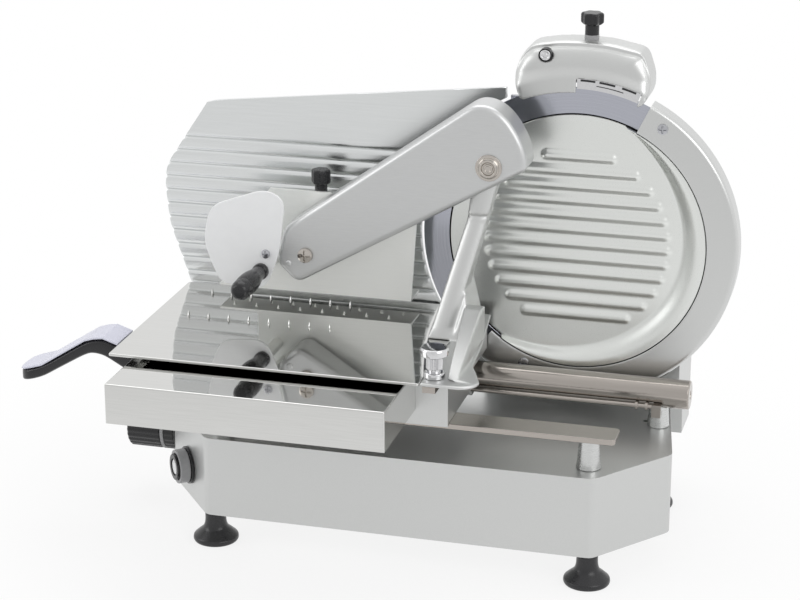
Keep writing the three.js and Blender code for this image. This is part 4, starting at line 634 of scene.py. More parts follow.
def ground_rings(centre, pitch):
    """Rings round a line along Y: noise by the distance from it, and that distance in metres."""
    middle = in_frame([centre[0], 0, centre[1]])
    shifted = add(blade_tree, "ShaderNodeVectorMath", {
        0: blade_place.outputs["Object"], 1: (middle[0], 0.0, middle[2]),
    }, operation="SUBTRACT")
    flat = add(blade_tree, "ShaderNodeVectorMath", {
        0: shifted.outputs[0], 1: (1.0, 0.0, 1.0),
    }, operation="MULTIPLY")
    reach = add(blade_tree, "ShaderNodeVectorMath", {0: flat.outputs[0]}, operation="LENGTH")
    rings = add(blade_tree, "ShaderNodeTexNoise", {
        "W": reach.outputs["Value"], "Scale": 1 / (pitch * MM), "Detail": 2.0,
    }, noise_dimensions="1D")
    return rings.outputs[0], reach.outputs["Value"]


# Ground blade steel: grinding rings are drawn 0.8 mm apart. The recess in front, under the cover,
# is painted near black as shade, which shows as a thin dark line round the cover.
blade_steel, blade_tree, blade_shader = start_material("ground_blade_steel", Metallic=1.0)
blade_place = add(blade_tree, "ShaderNodeTexCoord")
blade_side = add(blade_tree, "ShaderNodeSeparateXYZ", {0: blade_place.outputs["Object"]})
grinding, from_middle = ground_rings((BLADE_X, BLADE_Z), 0.8)
blade_tones = add(blade_tree, "ShaderNodeMix", {
    "Factor": spread(blade_tree, grinding, 0.0, 1.0), 6: linear("#b2b4bd"), 7: linear("#babcc5"),
}, data_type="RGBA")
RECESS_RADIUS, RECESS_DEPTH = 144.1, 5.0
under_cover = add(blade_tree, "ShaderNodeMath", {
    0: from_middle, 1: RECESS_RADIUS * MM,
}, operation="LESS_THAN")
in_front = add(blade_tree, "ShaderNodeMath", {
    0: blade_side.outputs["Y"], 1: in_frame([0, CUT_Y + RECESS_DEPTH, 0])[1],
}, operation="LESS_THAN")
recess = add(blade_tree, "ShaderNodeMath", {
    0: under_cover.outputs[0], 1: in_front.outputs[0],
}, operation="MULTIPLY")
# Painted shade: inside the recess the blade's colour is mixed to near black, for the dark gap round the
# cover.
blade_tone_with_painted_shade = add(blade_tree, "ShaderNodeMix", {
    "Factor": recess.outputs[0], 6: blade_tones.outputs[2], 7: linear("#141416"),
}, data_type="RGBA")
blade_relief = add(blade_tree, "ShaderNodeBump", {
    "Height": grinding, "Strength": 0.5, "Distance": 0.005 * MM,
})
blade_tree.links.new(blade_tone_with_painted_shade.outputs[2], blade_shader.inputs["Base Color"])
blade_tree.links.new(spread(blade_tree, grinding, 0.12, 0.24), blade_shader.inputs["Roughness"])
blade_tree.links.new(blade_relief.outputs[0], blade_shader.inputs["Normal"])
BLADE_RADIUS = 173.0
fit(skin("knife", [turned([
    (6.5, 3.7), (143.6, 3.7), (144, 3.4), (144, 0.3), (144.3, 0), (163.5, 0), (164, 0.05), (172.8, 0.3),
    (173, 0.45), (172.8, 0.6), (158, 5), (150, 6.2), (144, 7), (6.5, 7), (6.5, 3.7),
], (BLADE_X, CUT_Y, BLADE_Z), Y, 256)]), "blade_unit", "mirror_steel", blade_steel, "blade", crease=20)

# Cover plate
# A light alloy disc over the blade's middle: flat ribs across it that the meat slides on, and a
# dished rim on the side that doesn't cut. It is turned and blasted to a dull silver.
# Its blasting is drawn 0.6 mm wide.
cover_alloy = worked_metal("blasted_turned_alloy", "#e3e5e2", "#e8eae7", 0.27, 0.33, 0.6, bump=0.002)
COVER_RADIUS, FLAT_RADIUS = 142.6, 112.0
RIB_TOP, RIB_PITCH, RIB_COUNT, RIB_REACH = 96.0, 16.4, 12, 105.0


def hump(distance, half_width, fall):
    """A raised band with a flat crown: one in the middle, falling as s^2 (3 - 2 s) over its sides."""
    s = np.clip((half_width - abs(distance)) / fall, 0, 1)
    return s * s * (3 - 2 * s)


def cover_height(x, z):
    """How far the cover stands out at a point from its middle. Each rib is a hump with round ends.
    The dish starts at r = 113.5 + 29.5 (|t + 28| / 98)^2.9 at the angle t and rises by
    9 (1 - (1 - S)^2), steep at first, with S the smooth share of the way out."""
    height = np.zeros_like(x)
    for rib in range(RIB_COUNT):
        level = RIB_TOP - RIB_PITCH * rib
        half = np.sqrt(RIB_REACH ** 2 - level ** 2)
        past = np.maximum(abs(x) - (half - 7.0), 0)
        height = np.maximum(height, 2.3 * hump(np.hypot(past, z - level), 7.6, 6.6))
    r = np.hypot(x, z)
    angle = np.degrees(np.arctan2(z, x))
    angle = np.where(angle > 110, angle - 360, angle)
    start = 113.5 + 29.5 * (abs(angle + 28) / 98) ** 2.9
    rise = np.clip((r - start) / np.maximum(COVER_RADIUS - 0.4 - start, 1.2), 0, 1)
    ends = np.clip((angle + 136) / 10, 0, 1) * np.clip((78 - angle) / 12, 0, 1)
    lift = 1 - (1 - rise * rise * (3 - 2 * rise)) ** 2
    return height + 9.0 * ends * ends * (3 - 2 * ends) * lift


row_angles = np.unique(np.concatenate([
    np.linspace(-90, 90, 121), np.degrees(np.arcsin(np.linspace(-0.985, 0.985, 300))),
]))
across_share = np.linspace(-1, 1, 121)[None, :]
row_z = FLAT_RADIUS * np.sin(np.radians(row_angles))[:, None]
half_chord = FLAT_RADIUS * np.cos(np.radians(row_angles))[:, None]
flat_x, flat_z = half_chord * across_share, row_z + 0 * across_share
flat_part = np.stack([
    BLADE_X + flat_x, CUT_Y - cover_height(flat_x, flat_z), BLADE_Z + flat_z,
], -1)
around = np.radians(np.concatenate([row_angles, 180 - row_angles[::-1][1:]]))
rim_r = np.concatenate([np.linspace(FLAT_RADIUS, COVER_RADIUS - 0.5, 34), [COVER_RADIUS]])[:, None]
rim_x, rim_z = rim_r * np.cos(around), rim_r * np.sin(around)
rim_y = CUT_Y - cover_height(rim_x, rim_z)
rim_y[-1] += 0.5
rim_part = np.stack([BLADE_X + rim_x, rim_y, BLADE_Z + rim_z], -1)
rear_ring = rim_part[-1].copy()
rear_ring[:, 1] = CUT_Y + 3
side_part = np.stack([rim_part[-1], rear_ring])
fit(
    skin("blade_cover", [flat_part, rim_part, side_part], [rear_ring[:-1]]),
    "frame", "cast_aluminium", cover_alloy, "cover_plate", crease=40,
)

# Ring guard
# A cast ring round the side of the blade that doesn't cut: a flat flange in front, rounded into a
# deep rim, held by a small cross-head screw near each end.
RING_RADIUS, RING_FRONT = 177.5, 195.0


def swept_ring(section, centre, start, end, steps):
    """A closed section of radius r and place y carried round an arc, with both ends closed:
    (x + r cos t, y, z + r sin t)."""
    t = np.radians(np.linspace(start, end, steps + 1))[:, None]
    r, y = np.asarray(section, float).T
    return np.stack([centre[0] + r * np.cos(t), y + 0 * t, centre[1] + r * np.sin(t)], -1)


ring_section = np.concatenate([
    eased([(146.0, 198), (143.5, 197.6), (143.5, 195.4), (146, 195)], 0.3),
    eased([(165, 195), (RING_RADIUS, 195), (RING_RADIUS, 221)], 6.0, steps=8),
    eased([(175.6, 221), (174.5, 219.5), (174.5, 198), (160, 198)], 0.6),
])
ring_grid = swept_ring(np.vstack([ring_section, ring_section[:1]]), (BLADE_X, BLADE_Z), -130, 64, 190)
foot_section = np.array([(174.5, 197), (177.5, 197), (177.5, 227.7), (174.5, 227.7), (174.5, 197)], float)
foot_grid = swept_ring(foot_section, (BLADE_X, BLADE_Z), -124, -52, 72)
# Cast ring alloy: a shade darker than the cover, fine blasted.
ring_alloy = worked_metal("blasted_cast_alloy", "#cdcecd", "#d3d4d3", 0.28, 0.36, 0.6, bump=0.006)
fit(
    skin("ring_casting", [ring_grid, foot_grid], both_ends(ring_grid, foot_grid)),
    "frame", "cast_aluminium", ring_alloy, "ring_guard",
)


def cross_head(foot, axis, radius, rise, slot_depth, slot_half, dome=0.35, shank=None):
    """A screw head seen from outside: a low dome h = rise (1 - dome (r/R)^2) with two crossed slots
    cut by a smooth step of their half width, and a shank of a radius and length if one is given."""
    sides, rows = 96, 30
    r = np.linspace(0, 1, rows)[:, None] * radius
    t = np.linspace(0, 2 * np.pi, sides + 1)[None, :]
    u, v = r * np.cos(t), r * np.sin(t)
    near = np.minimum(abs(u), abs(v))
    inside = np.clip((slot_half - near) / 0.35, 0, 1) * np.clip((radius * 0.72 - r) / 0.4, 0, 1)
    height = rise * (1 - dome * (r / radius) ** 2) - slot_depth * inside
    height[-1] = 0
    if shank:
        r = np.concatenate([r, [[shank[0]], [shank[0]], [0]]])
        u, v = r * np.cos(t), r * np.sin(t)
        under = np.zeros((1, sides + 1))
        height = np.vstack([height, under, under - shank[1], under - shank[1]])
    axis, across, other = square_to(axis)
    around = u[..., None] * across + v[..., None] * other
    return np.array(foot, float) + height[..., None] * axis + around


# Zinc-plated steel of small screws: bright, slightly cool.
plated_steel = worked_metal("zinc_plated_steel", "#b3b4b8", "#c3c4c8", 0.14, 0.24, 0.7, bump=0.008)
for number, (reach, degrees) in enumerate([(163.0, 56.1), (153.9, -110.8)], 1):
    turn = np.radians(degrees)
    place = (BLADE_X + reach * np.cos(turn), RING_FRONT + 0.2, BLADE_Z + reach * np.sin(turn))
    ring_screw = cross_head(place, -Y, 6.0, 2.4, 1.6, 0.9)
    ring_screw = skin(f"ring_screw_{number}", [ring_screw], [ring_screw[-1, :-1]])
    fit(ring_screw, "frame", "satin_steel", plated_steel)

# Gauge plate
# A cast fence that the meat leans on and that sets the slice: horizontal ribs, a plain band above
# them, and an edge cut to the round of the blade. It is polished on the crests of its ribs.
GAUGE_LOW, GAUGE_HIGH, GAUGE_LEFT, GAUGE_RIGHT = 150.0, 482.7, -328.0, 90.0
GAUGE_OUTLINE = np.array([
    (0.134, 0), (1, 0), (0.951, 0.5), (0.951, 1), (0.158, 0.891), (0.127, 0.881),
    (0.005, 0.649), (0, 0.577), (0.01, 0.445), (0.069, 0.228),
]) * (GAUGE_RIGHT - GAUGE_LEFT, GAUGE_HIGH - GAUGE_LOW) + (GAUGE_LEFT, GAUGE_LOW)
FIRST_GROOVE, GAUGE_PITCH = 401.4, 15.9
fence_top = GAUGE_OUTLINE[3:6]
fence_left = np.vstack([GAUGE_OUTLINE[5:], GAUGE_OUTLINE[:1]])
plate_levels = np.linspace(GAUGE_LOW + 0.01, GAUGE_OUTLINE[5, 1], 700)
soft_left = eased(fence_left, 12.0)
left_below = np.interp(plate_levels, soft_left[::-1, 1], soft_left[::-1, 0])
above = np.linspace(GAUGE_OUTLINE[5, 1], GAUGE_HIGH - 0.01, 60)[1:]
left_above = np.interp(above, fence_top[::-1, 1], fence_top[::-1, 0])
levels = np.concatenate([plate_levels, above])
left_x = np.concatenate([left_below, left_above])
blade_side = BLADE_X - np.sqrt(np.maximum((BLADE_RADIUS + 2.8) ** 2 - (levels - BLADE_Z) ** 2, 0))
right_x = np.minimum(
    np.interp(levels, GAUGE_OUTLINE[1:4, 1], GAUGE_OUTLINE[1:4, 0]), blade_side,
)
ring_zone = np.degrees(np.arctan2(levels - BLADE_Z, right_x - BLADE_X)) + 360
near_ring = (ring_zone > 227) & (levels < BLADE_Z)
ring_side = BLADE_X - np.sqrt(np.maximum((RING_RADIUS + 1) ** 2 - (levels - BLADE_Z) ** 2, 0))
right_x = np.where(near_ring, np.minimum(right_x, ring_side), right_x)


def fence_rib(z):
    """How far the fence stands out at a height: 2.3 (1 - |2u - 1|^4) with u the share of the pitch
    below the last groove. Above the first groove the plain band bends up to the same height."""
    u = np.mod((FIRST_GROOVE - z) / GAUGE_PITCH, 1)
    plain = 1 - np.clip((z - FIRST_GROOVE) / (GAUGE_PITCH / 2), 0, 1)
    return 2.3 * (1 - np.where(z > FIRST_GROOVE, plain, abs(2 * u - 1)) ** 4)


share = np.concatenate([[0, 0.002, 0.005], np.linspace(0.012, 0.988, 40), [0.995, 0.998, 1.0]])[None, :]
fence_x = left_x[:, None] + (right_x - left_x)[:, None] * share
edge_gap = np.minimum(fence_x - left_x[:, None], right_x[:, None] - fence_x)
edge_round = 1.4 * (1 - np.sqrt(np.clip(1 - (1 - np.clip(edge_gap / 1.4, 0, 1)) ** 2, 0, 1)))
fence_y = CUT_Y + 2.3 - fence_rib(levels)[:, None] + edge_round
fence_front = np.stack([fence_x, fence_y, levels[:, None] + 0 * share], -1)
fence_back = fence_front.copy()
fence_back[..., 1] = CUT_Y + 4.0
border = [fence_front[:, 0], fence_front[:, -1], fence_front[0], fence_front[-1]]
rear_border = [fence_back[:, 0], fence_back[:, -1], fence_back[0], fence_back[-1]]
walls = [np.stack([a, b]) for a, b in zip(border, rear_border)]
# Polished cast alloy of the fence: bright along the ribs, with a fine lengthwise grain.
fence_alloy = worked_metal(
    "polished_cast_alloy", "#dfe1e1", "#e3e5e5", 0.25, 0.27, 0.7, stretch=(60, 1, 1), bump=0.0002,
)
fit(
    skin("fence_plate", [fence_front, fence_back, *walls]),
    "gauge", "cast_aluminium", fence_alloy, "gauge_plate",
)
dressed("gauge_carrier", "fence_carrier", "gauge", "cast_aluminium", anodised_aluminium, soften=0.7)

# Thickness knob
# A round black knob on the left end of the base. A grey ring with ridges round it carries the
# scale.
KNOB_Y, KNOB_Z, KNOB_RIGHT = 130.0, 78.0, -290.0
knob_foot = (KNOB_RIGHT, KNOB_Y, KNOB_Z)
slice_knob = fluted(eased([
    (0, 55.4), (18, 55.4), (19, 56), (24, 56), (26, 54), (26, 18), (25.4, 16.6), (22.8, 16.4), (22.8, 11.6),
    (26, 11.6), (26, 0.6), (25.4, 0), (5.3, 0), (5.3, 27), (0, 27),
], 0.7), knob_foot, -X, 24, 0.9, sides=192)
fit(skin("slice_knob", [slice_knob]), "thickness", "black_plastic", moulded_black, "thickness_knob")
slice_scale = fluted(eased([
    (23.3, 12), (25.6, 12), (26, 12.5), (26, 15.5), (25.6, 16), (23.3, 16), (23.3, 12),
], 0.3), knob_foot, -X, 60, 0.5, sides=360)
fit(skin("slice_scale", [slice_scale]), "thickness", "grey_plastic", moulded_grey, "thickness_scale_ring")

# Sharpener
# A rounded casting over the top of the blade on a steel bracket, with two stones inside it. A
# bright button works the stones and a lobed black knob on a grey collar holds the casting.


def cast_over(node, name, body, slot, finish, grain=1.2, passes=8, formed=None):
    """A merged copy of a solid with all its edges run soft, as from a mould: skinned again in even
    facets of one grain, shaped by formed(points) where given, then smoothed by moving each corner
    towards its neighbours' middle."""
    piece = merged_copy(node, name, False)
    remesh = piece.modifiers.new("even_facets", "REMESH")
    remesh.mode = "VOXEL"
    remesh.voxel_size = grain * MM
    graph = bpy.context.evaluated_depsgraph_get()
    piece.data = bpy.data.meshes.new_from_object(piece.evaluated_get(graph))
    piece.modifiers.clear()
    if formed is not None:
        moved = in_frame(formed(corners_of(piece.data)))
        piece.data.vertices.foreach_set("co", moved.ravel())
    soften = piece.modifiers.new("run_soft", "SMOOTH")
    soften.factor = 0.5
    soften.iterations = passes
    return fit(piece, body, slot, finish, node, crease=60)


SHARPENER_FRONT, SHARPENER_TOP = 190.0, 538.0
CASTING_OUTLINE = eased(np.array([
    (0.045, 0), (0.95, 0), (1, 0.215), (1, 0.46), (0.939, 0.862), (0.69, 0.977), (0.5, 1), (0.31, 0.985),
    (0.113, 0.908), (0.045, 0.738), (0, 0.46), (0, 0.3),
]) * (147.1, 65.0) + (79.4, 473.0), 8.0, steps=3, closed=True)


def smooth_step(value, low, high):
    """s^2 (3 - 2 s) with s the share of the way from low to high."""
    s = np.clip((value - low) / (high - low), 0, 1)
    return s * s * (3 - 2 * s)


def pillow(points):
    """Rounds the casting's front over to its top and ends. With a the depth behind the front and b
    the depth below the outline, (R - a, R - b) is scaled by (R - min(a, b)) over its own length, so
    square shells become round ones. R is 24 at the top and 9 at the ends. Along its low edge the
    front stands out as a lip, within 186 of the blade's middle, and falls back above that."""
    x, y, z = points.T
    start = CASTING_OUTLINE
    along = np.roll(start, -1, 0) - start
    length = np.linalg.norm(along, axis=1)
    outward = np.stack([along[:, 1], -along[:, 0]], 1) / np.maximum(length, 1e-6)[:, None]
    used = (outward[:, 1] > -0.35) & (length > 0.05)
    start, along, outward, length = start[used], along[used], outward[used], length[used]
    gap_x, gap_z = x[:, None] - start[:, 0], z[:, None] - start[:, 1]
    t = np.clip((gap_x * along[:, 0] + gap_z * along[:, 1]) / length ** 2, 0, 1)
    far = np.hypot(gap_x - t * along[:, 0], gap_z - t * along[:, 1])
    b = far.min(1)
    weight = np.exp(-(far - b[:, None]) / 7.0)
    weight /= weight.sum(1, keepdims=True)
    radius = weight @ np.interp(outward[:, 1], [-0.35, 0.0, 0.5, 0.9], [3.0, 9.0, 17.0, 24.0])
    push = weight @ outward
    push /= np.maximum(np.linalg.norm(push, axis=1, keepdims=True), 1e-6)
    a = np.maximum(y - SHARPENER_FRONT, 0)
    b = np.maximum(b, 0)
    across, down = np.maximum(radius - a, 0), np.maximum(radius - b, 0)
    inside = (across > 0) & (down > 0)
    scale = np.where(inside, np.maximum(across, down) / np.maximum(np.hypot(across, down), 1e-6), 1)
    back_by = across * (1 - scale)
    in_by = down * (1 - scale)
    from_blade = np.hypot(x - BLADE_X, z - BLADE_Z)
    fall = 5.6 * smooth_step(from_blade, 185, 199)
    back_by = back_by + fall * (1 - smooth_step(a, 4, 16))
    return np.stack([x - push[:, 0] * in_by, y + back_by, z - push[:, 1] * in_by], 1)


cast_over(
    "sharpener_housing", "sharpener_casting", "sharpener", "cast_aluminium", anodised_aluminium,
    grain=0.9, passes=9, formed=pillow,
)
dressed("sharpener_bracket", "sharpener_arm", "frame", "satin_steel", plated_steel, soften=0.6)
# Chrome plate: a clear bright mirror with the faintest haze.
chrome_plate = worked_metal("polished_chrome_plate", "#d2d2d4", "#dadadb", 0.05, 0.1, 2.0, bump=0.004)
stone_button = turned(eased([
    (0, 18), (6.2, 18), (6.2, 1.2), (5.7, 0.4), (4.4, 0), (3.6, 0.5), (2.6, 0.7), (2.2, 0.1), (0, 0),
], 0.4), (113, 193.5, 523), Y, 72)
fit(skin("stone_button", [stone_button]), "stone_button", "mirror_steel", chrome_plate, "stone_push_button")
fit(skin("button_bush", [turned(eased([
    (6.4, 0.2), (7.3, 0.2), (7.3, 9), (6.4, 9), (6.4, 0.2),
], 0.1), (113, 193.6, 523), Y, 72)]), "sharpener", "black_plastic", moulded_black)
# The chrome slide of the stones shows in the casting's notch. Thin black strips just in front of it are
# painted shade for the slots along it.
slide_section = np.array([(173.8, 193.4), (184.9, 193.4), (184.9, 195.6), (173.8, 195.6), (173.8, 193.4)])
slide_grid = swept_ring(slide_section, (BLADE_X, BLADE_Z), 68.8, 90.8, 30)
fit(skin("stone_slide", [slide_grid], both_ends(slide_grid)), "sharpener", "mirror_steel", chrome_plate)
slots = []
for low_r, high_r, start, end in [
    (182.2, 184.3, 84.6, 89.6), (182.2, 184.3, 77.8, 83.2), (182.2, 184.3, 70.4, 75.4),
    (178.4, 179.2, 74.5, 84.0),
]:
    section = np.array([(low_r, 192.9), (high_r, 192.9), (high_r, 193.6), (low_r, 193.6), (low_r, 192.9)])
    slots.append(swept_ring(section, (BLADE_X, BLADE_Z), start, end, 12))
fit(skin("slide_slot_shade", slots, both_ends(*slots)), "sharpener", "black_plastic", moulded_black)


def lobed_knob(name, body, foot, stem, head, stands_for):
    """A six-lobed knob: a turned stem, and a head whose radius is cut by a fifth of itself between
    its lobes and whose upper and lower edges are rounded. stem is its radius, its foot's height
    and its length, and head is its radius and its height."""
    low = stem[1] + stem[2]
    stem_grid = turned(eased([
        (0, stem[1]), (stem[0], stem[1]), (stem[0], low + 1), (0, low + 1),
    ], 0.5), foot, Z, 64)
    head_grid = fluted(eased([
        (0, low - 0.5), (head[0] - 3.4, low - 0.5), (head[0], low + 2.2),
        (head[0], low + head[1] - 1.6), (head[0] - 1.6, low + head[1]), (0, low + head[1]),
    ], 1.4), foot, Z, 6, head[0] * 0.2, sides=120)
    return fit(skin(name, [stem_grid, head_grid]), body, "black_plastic", moulded_black, stands_for)


lobed_knob(
    "sharpener_grip", "sharpener_screw", (158, 222, SHARPENER_TOP), (7.6, 4.5, 11), (12.5, 13),
    "sharpener_knob",
)
fit(skin("sharpener_collar", [turned(eased([
    (0, -1.0), (7.9, -1.0), (7.9, 4.6), (0, 4.6),
], 0.5), (158, 222, SHARPENER_TOP), Z, 64)]), "sharpener_screw", "grey_plastic", moulded_grey)
# Bonded grit of the stones: a pinkish grey with grains drawn at 0.7 mm.
bonded_grit, grit_tree, grit_shader = start_material("bonded_abrasive_grit", Roughness=0.92)
grit = pattern(grit_tree, 0.7, detail=4.0)
grit_tones = add(grit_tree, "ShaderNodeMix", {
    "Factor": spread(grit_tree, grit, 0.0, 1.0), 6: linear("#a98172"), 7: linear("#cda999"),
}, data_type="RGBA")
grit_relief = add(grit_tree, "ShaderNodeBump", {"Height": grit, "Strength": 0.8, "Distance": 0.25 * MM})
grit_tree.links.new(grit_tones.outputs[2], grit_shader.inputs["Base Color"])
grit_tree.links.new(grit_relief.outputs[0], grit_shader.inputs["Normal"])
for node, body, name in [
    ("grinding_stone", "grinder", "grinding_wheel"), ("honing_stone", "honer", "honing_wheel"),
]:
    dressed(node, name, body, "grit_stone", bonded_grit, soften=0.5)

# Carriage
# A cast block that slides on the round bar and rests on the flat one, with a thin deck to the
# left under a shelf folded from mirror-polished sheet.
dressed("carriage_block", "carriage_casting", "carriage", "cast_aluminium", anodised_aluminium, soften=1.0)
# Mirror-polished stainless sheet: it shows the machine in itself, with a faint lengthwise haze.
mirror_sheet = worked_metal(
    "mirror_polished_stainless_sheet", "#cfcfcd", "#d4d4d2", 0.035, 0.05, 1.0, stretch=(40, 1, 1),
    bump=0.0005,
)
SHELF_TOP = 221.5


def shelf_rim(a, b):
    """The folded edges of the shelf: its outer top edges and its two front corners."""
    top = on_level(a, b, 2, SHELF_TOP)
    corner_edge = on_level(a, b, 1, -113.0) & (on_level(a, b, 0, -279.5) | on_level(a, b, 0, 20.0))
    return top | corner_edge


dressed(
    "front_shelf", "folded_shelf", "carriage", "mirror_steel", mirror_sheet,
    soften=1.6, chosen=shelf_rim, segments=4,
)

# Grip
# A curved black handle at the left end of the deck, moulded in one piece, with a pale cap let
# into its upper side.
GRIP_LEFT, GRIP_RIGHT, GRIP_LOW, GRIP_HEIGHT = -428.0, -297.0, 165.0, 63.5
TOP_SHARES = [(0, 0.24), (0.214, 0.378), (0.612, 0.923), (0.69, 0.975), (0.772, 1), (0.904, 0.905)]
LOW_SHARES = [
    (1, 0.39), (0.906, 0.498), (0.791, 0.646), (0.711, 0.69), (0.631, 0.687), (0.339, 0.315),
    (0.198, 0.126), (0, 0.016),
]
body_height = GRIP_HEIGHT - 2.3


def grip_line(shares, lift=0.0):
    """Points of the grip's side view from shares of its length and height."""
    span = np.array([GRIP_RIGHT - GRIP_LEFT, body_height])
    return np.asarray(shares) * span + (GRIP_LEFT, GRIP_LOW + lift)


def plan_half_width(x):
    """Half the grip's width at a place along it: full, then round at the free end."""
    past = np.clip((GRIP_LEFT + 16 - x) / 16, 0, 1)
    return 7.0 + 16.0 * np.sqrt(1 - past ** 2)


def curved_bar(name, low_line, high_line, rounding, stations=90):
    """A bar between two side-view lines: at each place along it a section of a superellipse,
    |y/w|^n + |z/h|^n = 1, as wide as the plan and as high as the lines are apart."""
    x = np.linspace(GRIP_LEFT, GRIP_RIGHT, stations)
    low = np.interp(x, low_line[:, 0], low_line[:, 1])
    high = np.interp(x, high_line[:, 0], high_line[:, 1])
    t = np.linspace(0, 2 * np.pi, 49)[None, :]
    power = 2 / rounding
    cos_part = np.sign(np.cos(t)) * abs(np.cos(t)) ** power
    sin_part = np.sign(np.sin(t)) * abs(np.sin(t)) ** power
    y = 23 + plan_half_width(x)[:, None] * cos_part
    z = ((low + high) / 2)[:, None] + ((high - low) / 2)[:, None] * sin_part
    grid = np.stack([x[:, None] + 0 * t, y, z], -1)
    return skin(name, [grid], both_ends(grid))


top_line = eased(grip_line(TOP_SHARES), 14.0)
low_line = eased(grip_line(LOW_SHARES)[::-1], 14.0)
top_line = np.vstack([top_line, [(GRIP_RIGHT, grip_line([(1, 0.835)])[0, 1])]])
fit(
    curved_bar("grip_moulding", low_line, top_line, 4.5),
    "carriage", "black_plastic", moulded_black, "grip_body",
)
# Satin pale cap: light lavender grey, smooth.
pale_cap = clouded_plastic("satin_pale_cap", "#d2d3e2", "#dadbe8", 0.35, 14.0)
dressed("grip_inlay", "grip_cap", "carriage", "pale_inlay", pale_cap, soften=0.4)

# Meat table
# A mirror-polished plate with two rows of leaf-shaped spikes. It is screwed to a casting that
# carries the arm and is locked by a knurled knob.
TABLE_TOP = 229.5
plate_outline = eased(box_outline(-301, 38, -47, 201), 2.5, closed=True)
plate_piece = slab("table_sheet", plate_outline, "z", 226.5, TABLE_TOP, edge=0.9)
fit(plate_piece, "meat_table", "mirror_steel", mirror_sheet, "meat_plate")


def spikes(name, places, base_z, height, long_half, thin_half):
    """Leaf-shaped teeth: at share s of the height an ellipse of half widths (1 - s^1.6), long side
    square to the row."""
    s = np.linspace(0, 1, 9)[:, None]
    t = np.linspace(0, 2 * np.pi, 17)[None, :]
    taper = 1 - s ** 1.6
    one = np.stack([
        thin_half * taper * np.cos(t), long_half * taper * np.sin(t), height * s + 0 * t,
    ], -1)
    grids = [one + (x, y, base_z) for x, y in places]
    return skin(name, grids, [g[0, :-1] for g in grids], weld=0.0005)


table_spikes = [(-260 + 23.3 * i, y) for y in (88, 167) for i in range(8)]
fit(
    spikes("table_spikes", table_spikes, TABLE_TOP - 0.2, 6.7, 3.0, 1.5),
    "meat_table", "mirror_steel", mirror_sheet,
)

# Column
# The casting that rises from the table's right edge to the arm's pivot: a smooth blade-like shaft,
# a web flaring to its right and a brace running up from the front nose.


def column_form(points):
    """The shaft's front is crowned: it falls back by 3.5 u^2, with u from -1 to 1 across it, and has
    a groove where the head is set on. The brace stands narrower than its block: across it, from its
    low end to its lug, the span 75 to 92 becomes 64 to 76 and 53 to 81 becomes 53 to 73. The flange
    is drawn in beside the brace."""
    x, y, z = points.T
    left = np.interp(z, [230, 351.5, 405.5], [13, 43.5, 51])
    far = np.interp(z, [230, 351.5, 405.5], [36, 65, 79.5])
    front = np.interp(z, [230, 351.5], [86, 130])
    u = (2 * x - left - far) / (far - left)
    on_front = (1 - smooth_step(y - front, 1, 15)) * smooth_step(z, 232, 244)
    on_front = on_front * (1 - smooth_step(abs(u), 1, 1.5))
    groove = 2.6 * np.exp(-((z - 357) / 1.7) ** 2)
    in_front = y < 104
    old_left = np.interp(y, [-36, 84], [75, 53])
    old_right = np.interp(y, [-10, 100], [92, 81])
    new_left = np.interp(y, [-36, 84], [64, 53])
    new_right = np.interp(y, [-36, 84], [76, 73])
    mapped = new_left + (x - old_left) * (new_right - new_left) / (old_right - old_left)
    on_brace = smooth_step(z, 230.2, 231.6) * in_front * smooth_step(x - old_left, -3, -1)
    flange_edge = np.interp(y, [-27, 84, 182], [97, 92, 62])
    flange_now = np.interp(y, [-27, -10, 20, 84, 182], [97, 91, 79, 74, 61])
    drawn = np.maximum(x - 58, 0) * ((flange_now - 58) / np.maximum(flange_edge - 58, 3) - 1)
    on_flange = (z > 226.2) * (1 - smooth_step(z, 230.2, 231.6))
    return np.stack([
        x + (mapped - x) * on_brace + drawn * on_flange, y + (3.5 * u ** 2 + groove) * on_front, z,
    ], 1)


cast_over(
    "column", "column_casting", "meat_table", "cast_aluminium", anodised_aluminium, grain=1.2, passes=9,
    formed=column_form,
)
lock_foot = (49, -25, 230.3)
fit(skin("lock_knob", [
    turned(eased([(0, 0), (11, 0), (11, 5.4), (9.5, 6.2), (0, 6.2)], 0.6), lock_foot, Z, 96),
    turned(eased([(0, 6), (6.5, 6), (6.5, 9), (8.4, 9.6), (8.4, 10), (0, 10)], 0.4), lock_foot, Z, 96),
    fluted(eased([(0, 10), (8.6, 10), (8.6, 23.6), (0, 23.6)], 0.3), lock_foot, Z, 30, 0.9, sides=240),
    turned(eased([
        (0, 23.4), (13, 23.4), (15, 25), (15, 31), (13.6, 33), (4, 33.2), (0, 33.2),
    ], 0.7), lock_foot, Z, 96),
]), "table_screw", "mirror_steel", chrome_plate, "table_lock_knob")

# Clamp arm
# A long cover pressed from sheet, open behind, with a wide rolled edge all round its face. It
# turns on a large bolt at its upper end.
ARM_FRONT, ARM_DEPTH, ARM_WALL, ARM_ROLL = 120.0, 40.0, 3.0, 6.5
PIVOT, HINGE = np.array([70.0, 415.0]), np.array([-134.0, 301.0])
ARM_OUTLINE = np.array([
    (0.955, 0.648), (0.989, 0.674), (1, 0.706), (0.988, 0.79), (0.954, 0.876), (0.913, 0.946),
    (0.865, 0.988), (0.816, 1), (0.779, 0.988), (0.036, 0.289), (0, 0.103), (0.086, -0.006),
]) * (280.4, 214.5) + (-169.4, 268.0)


def spaced(outline, gap):
    """The outline without the points that have their next one within a gap."""
    return outline[np.linalg.norm(np.roll(outline, -1, 0) - outline, axis=1) > gap]


